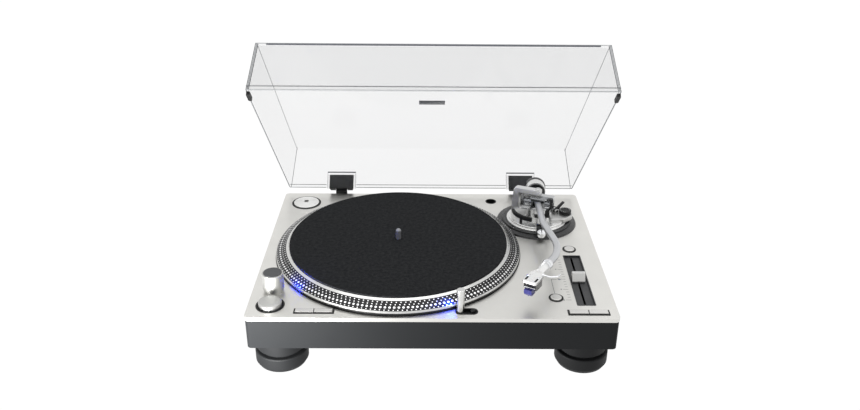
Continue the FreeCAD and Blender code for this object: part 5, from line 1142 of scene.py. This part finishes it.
@dataclass
class RearSockets:
    """Metal sleeves, coloured inserts and blades in the sockets at the back."""

    jack_x: float = 60.0
    pitch: float = 14.0
    rise: float = -24.4
    face: float = 168.5
    inlet_x: float = -60.0
    inlet_face: float = 161.5
    pin_out: float = 4.3

    def socket(self, x: float, y: float) -> Matrix:
        """Find a socket.

        Args:
            x: Its axis.
            y: Its face.

        Returns:
            The frame at its middle, with the Z axis pointing out of it.
        """
        return panel_frame(x, y, self.rise) @ Matrix.Rotation(math.radians(-90), 4, "X")

    def sleeve(self, side: Side, finish: Finish) -> None:
        """Sleeve one audio socket and colour its insert.

        Args:
            side: Which of the two.
            finish: The insert's finish.
        """
        where = self.socket(self.jack_x + side.value * self.pitch / 2, self.face)
        name = side.name.lower()
        shell = [(4.16, 1.55), (4.24, 1.55), (4.24, 8.55), (3.4, 8.55), (3.4, 8.5), (4.16, 8.5)]
        piece(f"audio_sleeve_{name}", lathe(shell, 40), where, STEEL, "plinth")
        insert = [(1.75, 8.5), (3.35, 8.5), (3.35, 8.6), (1.75, 8.6)]
        piece(f"audio_insert_{name}", lathe(insert, 40), where, finish, "plinth")

    def blades(self) -> None:
        """Plate the two pins of the mains inlet."""
        for side in Side:
            where = self.socket(self.inlet_x + side.value * self.pin_out, self.inlet_face)
            outline = [(0.01, 0.2), (1.26, 0.2), (1.26, 9.0), (0.8, 9.58), (0.01, 9.62)]
            piece(f"inlet_pin_{side.name.lower()}", lathe(outline, 20), where, BRASS, "plinth")

    def build(self) -> None:
        """Build the sockets' metal and colour."""
        self.sleeve(Side.LEFT, WHITE_PVC)
        self.sleeve(Side.RIGHT, RED_PVC)
        self.blades()


@dataclass
class Studio:
    """A white floor that glows, soft lights and the camera."""

    eye: Triple = (-10.547, -1013.503, 565.070)
    pitch: float = 0.457643
    yaw: float = 0.00769030
    roll: float = 0.00837297
    focal_px: float = 840.122
    sensor_mm: float = 36.0
    clip_m: Pair = (0.01, 30.0)
    floor_m: float = 6.0

    def camera(self) -> None:
        """Set the camera where the photograph was taken from."""
        cp, sp = math.cos(self.pitch), math.sin(self.pitch)
        ahead = Vector((math.sin(self.yaw) * cp, math.cos(self.yaw) * cp, -sp))
        right = Vector((math.cos(self.yaw), -math.sin(self.yaw), 0))
        up = right.cross(ahead)
        cr, sr = math.cos(self.roll), math.sin(self.roll)
        across = cr * right + sr * up
        above = -sr * right + cr * up
        data = bpy.data.cameras.new("camera")
        data.sensor_fit = "HORIZONTAL"
        data.sensor_width = self.sensor_mm
        data.lens = self.focal_px / PHOTO_WIDTH * self.sensor_mm
        data.clip_start, data.clip_end = self.clip_m
        made = put("camera", data)
        turn = Matrix((across, above, -ahead)).transposed().to_4x4()
        made.matrix_world = Matrix.Translation(panel_point(*self.eye)) @ turn
        bpy.context.scene.camera = made

    def floor(self) -> None:
        """Lay the white floor."""
        mesh = bmesh.new()
        bmesh.ops.create_grid(mesh, x_segments=1, y_segments=1, size=self.floor_m)
        data = bpy.data.meshes.new("studio_floor")
        mesh.to_mesh(data)
        mesh.free()
        data.materials.append(STUDIO_PAPER.build())
        put("studio_floor", data)

    def softbox(self, name: str, place: Triple, size: Pair, power: float,
                toward: Triple = (0.0, 0.0, 0.1)) -> None:
        """Hang a soft light that faces the turntable.

        Args:
            name: The light's name.
            place: Its place in metres.
            size: Its width and height in metres.
            power: Its power in watts.
            toward: What it faces.
        """
        data = bpy.data.lights.new(name, "AREA")
        data.shape = "RECTANGLE"
        data.size, data.size_y = size
        data.energy = power
        aim(put(name, data), Vector(place), Vector(toward))

    def build(self) -> None:
        """Set up the studio."""
        self.camera()
        self.floor()
        world = bpy.data.worlds.new("studio_air")
        world.use_nodes = True
        air = world.node_tree.nodes["Background"]
        air.inputs["Color"].default_value = linear("#FFFFFF")
        air.inputs["Strength"].default_value = 1.0
        bpy.context.scene.world = world
        self.softbox("softbox_top", (0.0, 0.3, 1.9), (2.2, 1.6), 12.0)
        self.softbox("softbox_left", (-0.26, -0.36, 0.065), (0.2, 0.04), 3.5, (-0.16, -0.173, 0.05))
        self.softbox("softbox_right", (1.7, -0.6, 1.2), (1.0, 1.2), 1.5)
        bpy.context.scene.view_settings.view_transform = "Standard"


def dress_frame(nodes: dict[str, bpy.types.Object]) -> None:
    """Give every CAD node its finish.

    Args:
        nodes: The frame's nodes by name.
    """
    left = set(nodes)
    for finish, names in DRESS.items():
        for name in names:
            data = nodes[name].data
            data.materials.clear()
            data.materials.append(finish.build())
            data.shade_smooth()
            data.set_sharp_from_angle(angle=math.radians(30))
            left.discard(name)
    for name in sorted(left):
        log.warning("%s has no finish", name)


def main() -> None:
    """Load the frame, dress it and build the pieces that are too fine for it."""
    logging.basicConfig(level=logging.INFO, format="%(message)s")
    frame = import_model()
    dress_frame(frame["nodes"])
    for maker in (Platter(), PanelPrint(), Lamps(), Fader(), Cover(), Tonearm(), RearSockets(), Studio()):
        maker.build()
        log.info("built %s", type(maker).__name__)


if __name__ == "__main__":
    main()
